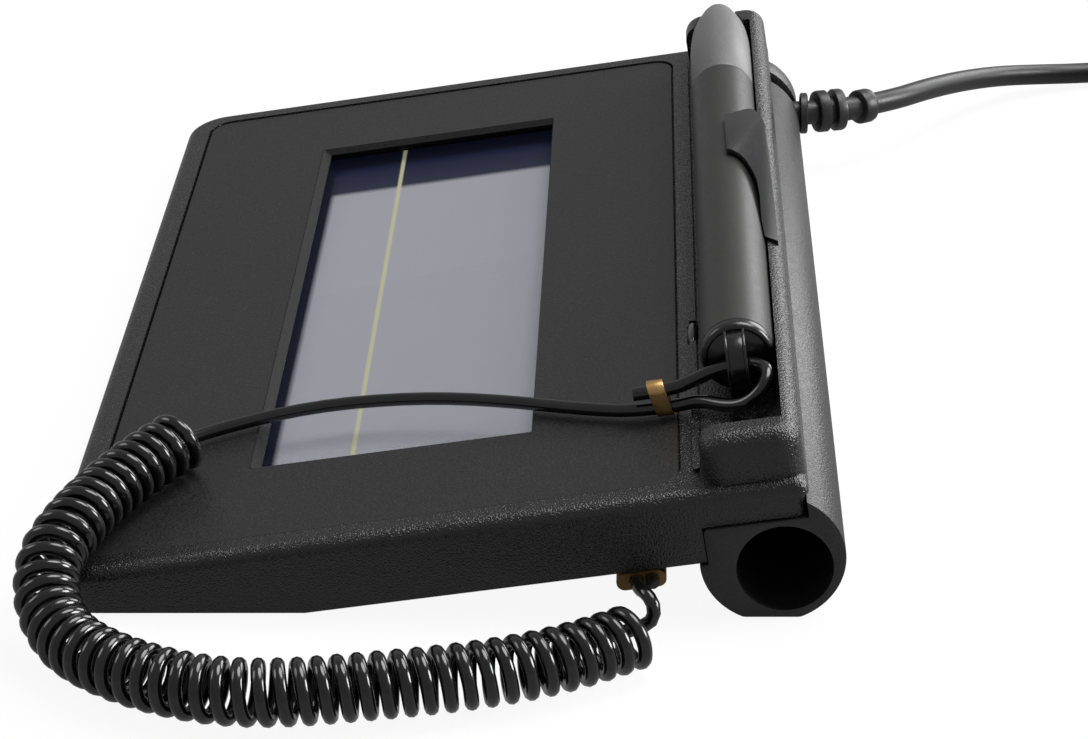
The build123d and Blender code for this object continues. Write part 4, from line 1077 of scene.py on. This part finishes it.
class PAD_OT_pen(bpy.types.Operator):
    """The pen: nib, nose, ring, barrel, and its cap with the strap that the loop goes through"""

    bl_idname = "pad.pen"
    bl_label = "Pen"

    def execute(self, context):
        axis = on_deck(0, PEN_BACK, PEN_HEIGHT)
        for name, node, slot, profile in PEN_PIECES:
            piece = turned(axis, ALONG, in_metres(profile), PEN_SIDES)
            settle(piece, name, "pen", slot, (node,))
        inside = LUG_SIDE - LUG_RIDGE / 2
        cap = [
            turned(axis, ALONG, in_metres(CAP_PROFILE), PEN_SIDES),
            self.strap(LUG_STRAP, -inside, inside),
        ]
        for side in (-1, 1):
            outside = side * LUG_SIDE
            cap.append(self.strap(LUG_OUTER, outside - side * LUG_RIDGE, outside))
        settle(joined(cap), "cap_and_strap", "pen", "pen_gloss", ("pen_tail_cap",), 32)
        return {"FINISHED"}

    def strap(self, outer, low, high):
        """Half a ring that stands on the cap's end, drawn out across the pen's line."""
        along, height = LUG_CENTRE
        root = along - LUG_ROOT
        points = [(root, height - outer)]
        points += arc_points(LUG_CENTRE, outer, -pi / 2, pi / 2, 24)
        points += [(root, height + outer), (root, height + LUG_INNER)]
        points += arc_points(LUG_CENTRE, LUG_INNER, pi / 2, -pi / 2, 24)
        points += [(root, height - LUG_INNER)]
        piece = drawn_block(points, low, high, lambda x, h, q: on_deck(x, PEN_BACK + q, h))
        soften_edges(piece, 0.00012)
        return piece


class PAD_OT_clip(bpy.types.Operator):
    """The springy clip: a flat head over the barrel and a blade that slopes down beside it"""

    bl_idname = "pad.clip"
    bl_label = "Clip"

    def execute(self, context):
        obj = drawn_block(CLIP_PLAN, CLIP_LOW, CLIP_HIGH, clip_place)
        bend = [clip_place(*point, CLIP_HIGH) for point in CLIP_BEND]
        across = (bend[1] - bend[0]).cross(clip_place(*CLIP_END) - bend[0]).normalized()
        if across.dot(DECK_UP) < 0:
            across = -across
        open_mesh(obj)
        bpy.ops.mesh.bisect(plane_co=bend[0], plane_no=across, use_fill=True, clear_outer=True)
        close_mesh()
        axis = on_deck(0, PEN_BACK, PEN_HEIGHT)
        channel = ((-CHANNEL_REACH, CHANNEL_RADIUS), (CHANNEL_REACH, CHANNEL_RADIUS))
        cut_with(obj, turned(axis, ALONG, channel, 96))
        soften_edges(obj, 0.00013)
        settle(obj, "clip_blade", "pad", "clip", ("pen_clip",), 25)
        return {"FINISHED"}


class PAD_OT_tube(bpy.types.Operator):
    """The rear tube: flat on the table, stepped to fit under the base, with its cable slot"""

    bl_idname = "pad.tube"
    bl_label = "Tube"

    def execute(self, context):
        front, back = STEP_FRONT + STEP_GAP, BASE_BACK + STEP_GAP
        top, foot = STEP_TOP - STEP_GAP, STEP_FOOT - STEP_GAP
        first = self.angle_at(back, STEP_TOP, 1)
        last = self.angle_at(STEP_FRONT, foot, -1)
        points = arc_points(TUBE_CENTRE, TUBE_RADIUS, first, last, 110)
        points = [(y, max(z, 0.0)) for y, z in points]
        chamfer = ((front, top - STEP_CHAMFER), (front + STEP_CHAMFER, top))
        corner = ((front, foot), *chamfer, (back, top))
        points += [tuple(on_deck(0, *place))[1:] for place in corner]
        obj = drawn_block(points, TUBE_FAR, TUBE_NEAR, lambda y, z, x: Vector((x, y, z)))
        bore = ((TUBE_FAR - MM, BORE_RADIUS), (TUBE_NEAR + MM, BORE_RADIUS))
        cut_with(obj, turned((0, *BORE_CENTRE), ALONG, bore, 96))
        low, high = CABLE_SLOT
        middle, rise = BORE_CENTRE
        slot = drawn_block(
            ((low, middle), (high, middle), (high, SLOT_BACK), (low, SLOT_BACK)),
            rise,
            SLOT_TOP,
            lambda x, y, z: Vector((x, y, z)),
        )
        cut_with(obj, slot)
        soften_edges(obj, 0.0002, 50)
        settle(obj, "tube_shell", "pad", "tube", ("rear_tube",), 30)
        return {"FINISHED"}

    def angle_at(self, back, height, way):
        """The angle at which the tube's round passes a distance back, or a height, on the deck."""
        centre = Vector((0, *TUBE_CENTRE)) - DECK_ORIGIN
        if way > 0:
            over_back = back - centre.dot(DECK_BACK)
            over_height = (TUBE_RADIUS**2 - over_back**2) ** 0.5
        else:
            over_height = height - centre.dot(DECK_UP)
            over_back = -((TUBE_RADIUS**2 - over_height**2) ** 0.5)
        place = DECK_BACK * over_back + DECK_UP * over_height
        return atan2(place.z, place.y)


class PAD_OT_relief(bpy.types.Operator):
    """The strain relief: a core with stepped and grooved rings"""

    bl_idname = "pad.relief"
    bl_label = "Strain relief"

    def execute(self, context):
        pieces = [meshed(spline_curve("core", RELIEF_ROUTE, RELIEF_CORE, 5, 8))]
        for start, way, profile in RELIEF_RINGS:
            start, way = Vector(start) * MM, Vector(way).normalized()
            pieces.append(turned(start, way, in_metres(profile), 40))
        settle(joined(pieces), "relief_sleeve", "pad", "cable", ("strain_relief",), 35)
        return {"FINISHED"}


class PAD_OT_sleeve(bpy.types.Operator):
    """The brass sleeve crimped over both strands of the pen's loop"""

    bl_idname = "pad.sleeve"
    bl_label = "Sleeve"

    def execute(self, context):
        along, back, height = SLEEVE_CENTRE
        wide, long, tall = SLEEVE_SIZE
        corner = wide / 2 - 0.0001
        points = rounded_rectangle((along, height), wide / 2, tall / 2, corner, 8)

        def place(x, h, q):
            return on_deck(x, q - (h - height) * SLEEVE_LEAN, h)

        obj = drawn_block(points, back - long / 2, back + long / 2, place)
        radius = pad_sizes().tether_wire / 2 + STRAND_GAP
        strand = ((-STRAND_REACH, radius), (STRAND_REACH, radius))
        for strand_height in STRAND_HEIGHTS:
            start = on_deck(along, back, strand_height)
            cut_with(obj, turned(start, DECK_BACK, strand, 40))
        soften_edges(obj, 0.00022)
        settle(obj, "loop_sleeve", "pen", "ferrule", ("pen_ferrule",), 30)
        return {"FINISHED"}


class PAD_OT_button(bpy.types.Operator):
    """The polished oval button on the lip beside the pen"""

    bl_idname = "pad.button"
    bl_label = "Button"

    def execute(self, context):
        low, high = (Vector(corner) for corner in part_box("lip_button"))
        start_piece()
        bpy.ops.mesh.primitive_uv_sphere_add(segments=32, ring_count=20, location=(low + high) / 2)
        obj = context.object
        obj.scale = (high - low) / 2
        apply_place(obj)
        settle(obj, "oval_button", "pad", "gloss_grey", ("lip_button",), 60)
        return {"FINISHED"}


class PAD_OT_lip(bpy.types.Operator):
    """The sloping lip inside the window, along its front and far edges"""

    bl_idname = "pad.lip"
    bl_label = "Window lip"

    def execute(self, context):
        far, near, back = WINDOW

        def far_place(x, h, q):
            return on_deck(far + x * LIP_FAR_SHARE, q, h)

        front_lip = drawn_block(LIP_SECTION, far, near, lambda q, h, x: on_deck(x, q, h))
        far_lip = drawn_block(LIP_SECTION, 0, back, far_place)
        lip = settle(joined([front_lip, far_lip]), "window_lip", "pad", "plate")
        dress(lip, "lip")
        return {"FINISHED"}


class PAD_OT_plug(bpy.types.Operator):
    """The plug's grip: a rounded body with finger ribs on both faces"""

    bl_idname = "pad.plug"
    bl_label = "Plug grip"

    def execute(self, context):
        low, high = (Vector(corner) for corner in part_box("usb_plug_grip"))
        middle = (low + high) / 2
        half = (high - low) / 2
        body = self.bar(middle, half.x, half.z - GRIP_RIB, half.x * 0.2, low.y, high.y)
        soften_edges(body, 0.0012)
        pieces = [body]
        for step in range(GRIP_RIBS):
            start = low.y + GRIP_FIRST + step * GRIP_PITCH
            end = start + GRIP_PITCH / 2
            rib = self.bar(middle, half.x * GRIP_RIB_SHARE, half.z, 0.0012, start, end)
            soften_edges(rib, 0.00022)
            pieces.append(rib)
        settle(joined(pieces), "plug_grip", "pad", "cable", ("usb_plug_grip",), 40)
        return {"FINISHED"}

    def bar(self, middle, half_wide, half_tall, corner, start, end):
        """A rounded bar across the plug, between two places along it."""
        points = rounded_rectangle((middle.x, middle.z), half_wide, half_tall, corner, 6)
        return drawn_block(points, start, end, lambda x, z, y: Vector((x, y, z)))


class PAD_PT_panel(bpy.types.Panel):
    """The pad's colours, sizes and steps"""

    bl_label = "Signature Pad"
    bl_idname = "PAD_PT_panel"
    bl_space_type = "VIEW_3D"
    bl_region_type = "UI"
    bl_category = "Signature Pad"

    def draw(self, context):
        layout = self.layout
        for group in (context.scene.pad_colours, context.scene.pad_sizes):
            box = layout.box()
            for name in group.__annotations__:
                box.prop(group, name)
        for step in STEPS:
            layout.operator(step.bl_idname)


STEPS = (
    PAD_OT_stage,
    PAD_OT_finishes,
    PAD_OT_tether,
    PAD_OT_plug,
    PAD_OT_cable,
    PAD_OT_pen,
    PAD_OT_clip,
    PAD_OT_tube,
    PAD_OT_relief,
    PAD_OT_sleeve,
    PAD_OT_button,
    PAD_OT_lip,
)
CLASSES = (PadColours, PadSizes, PAD_PT_panel) + STEPS


def register():
    for item in CLASSES:
        bpy.utils.register_class(item)
    bpy.types.Scene.pad_colours = PointerProperty(type=PadColours)
    bpy.types.Scene.pad_sizes = PointerProperty(type=PadSizes)


def unregister():
    del bpy.types.Scene.pad_sizes
    del bpy.types.Scene.pad_colours
    for item in reversed(CLASSES):
        bpy.utils.unregister_class(item)


def main():
    register()
    for step in STEPS:
        group, name = step.bl_idname.split(".")
        getattr(getattr(bpy.ops, group), name)()


if __name__ == "__main__":
    main()
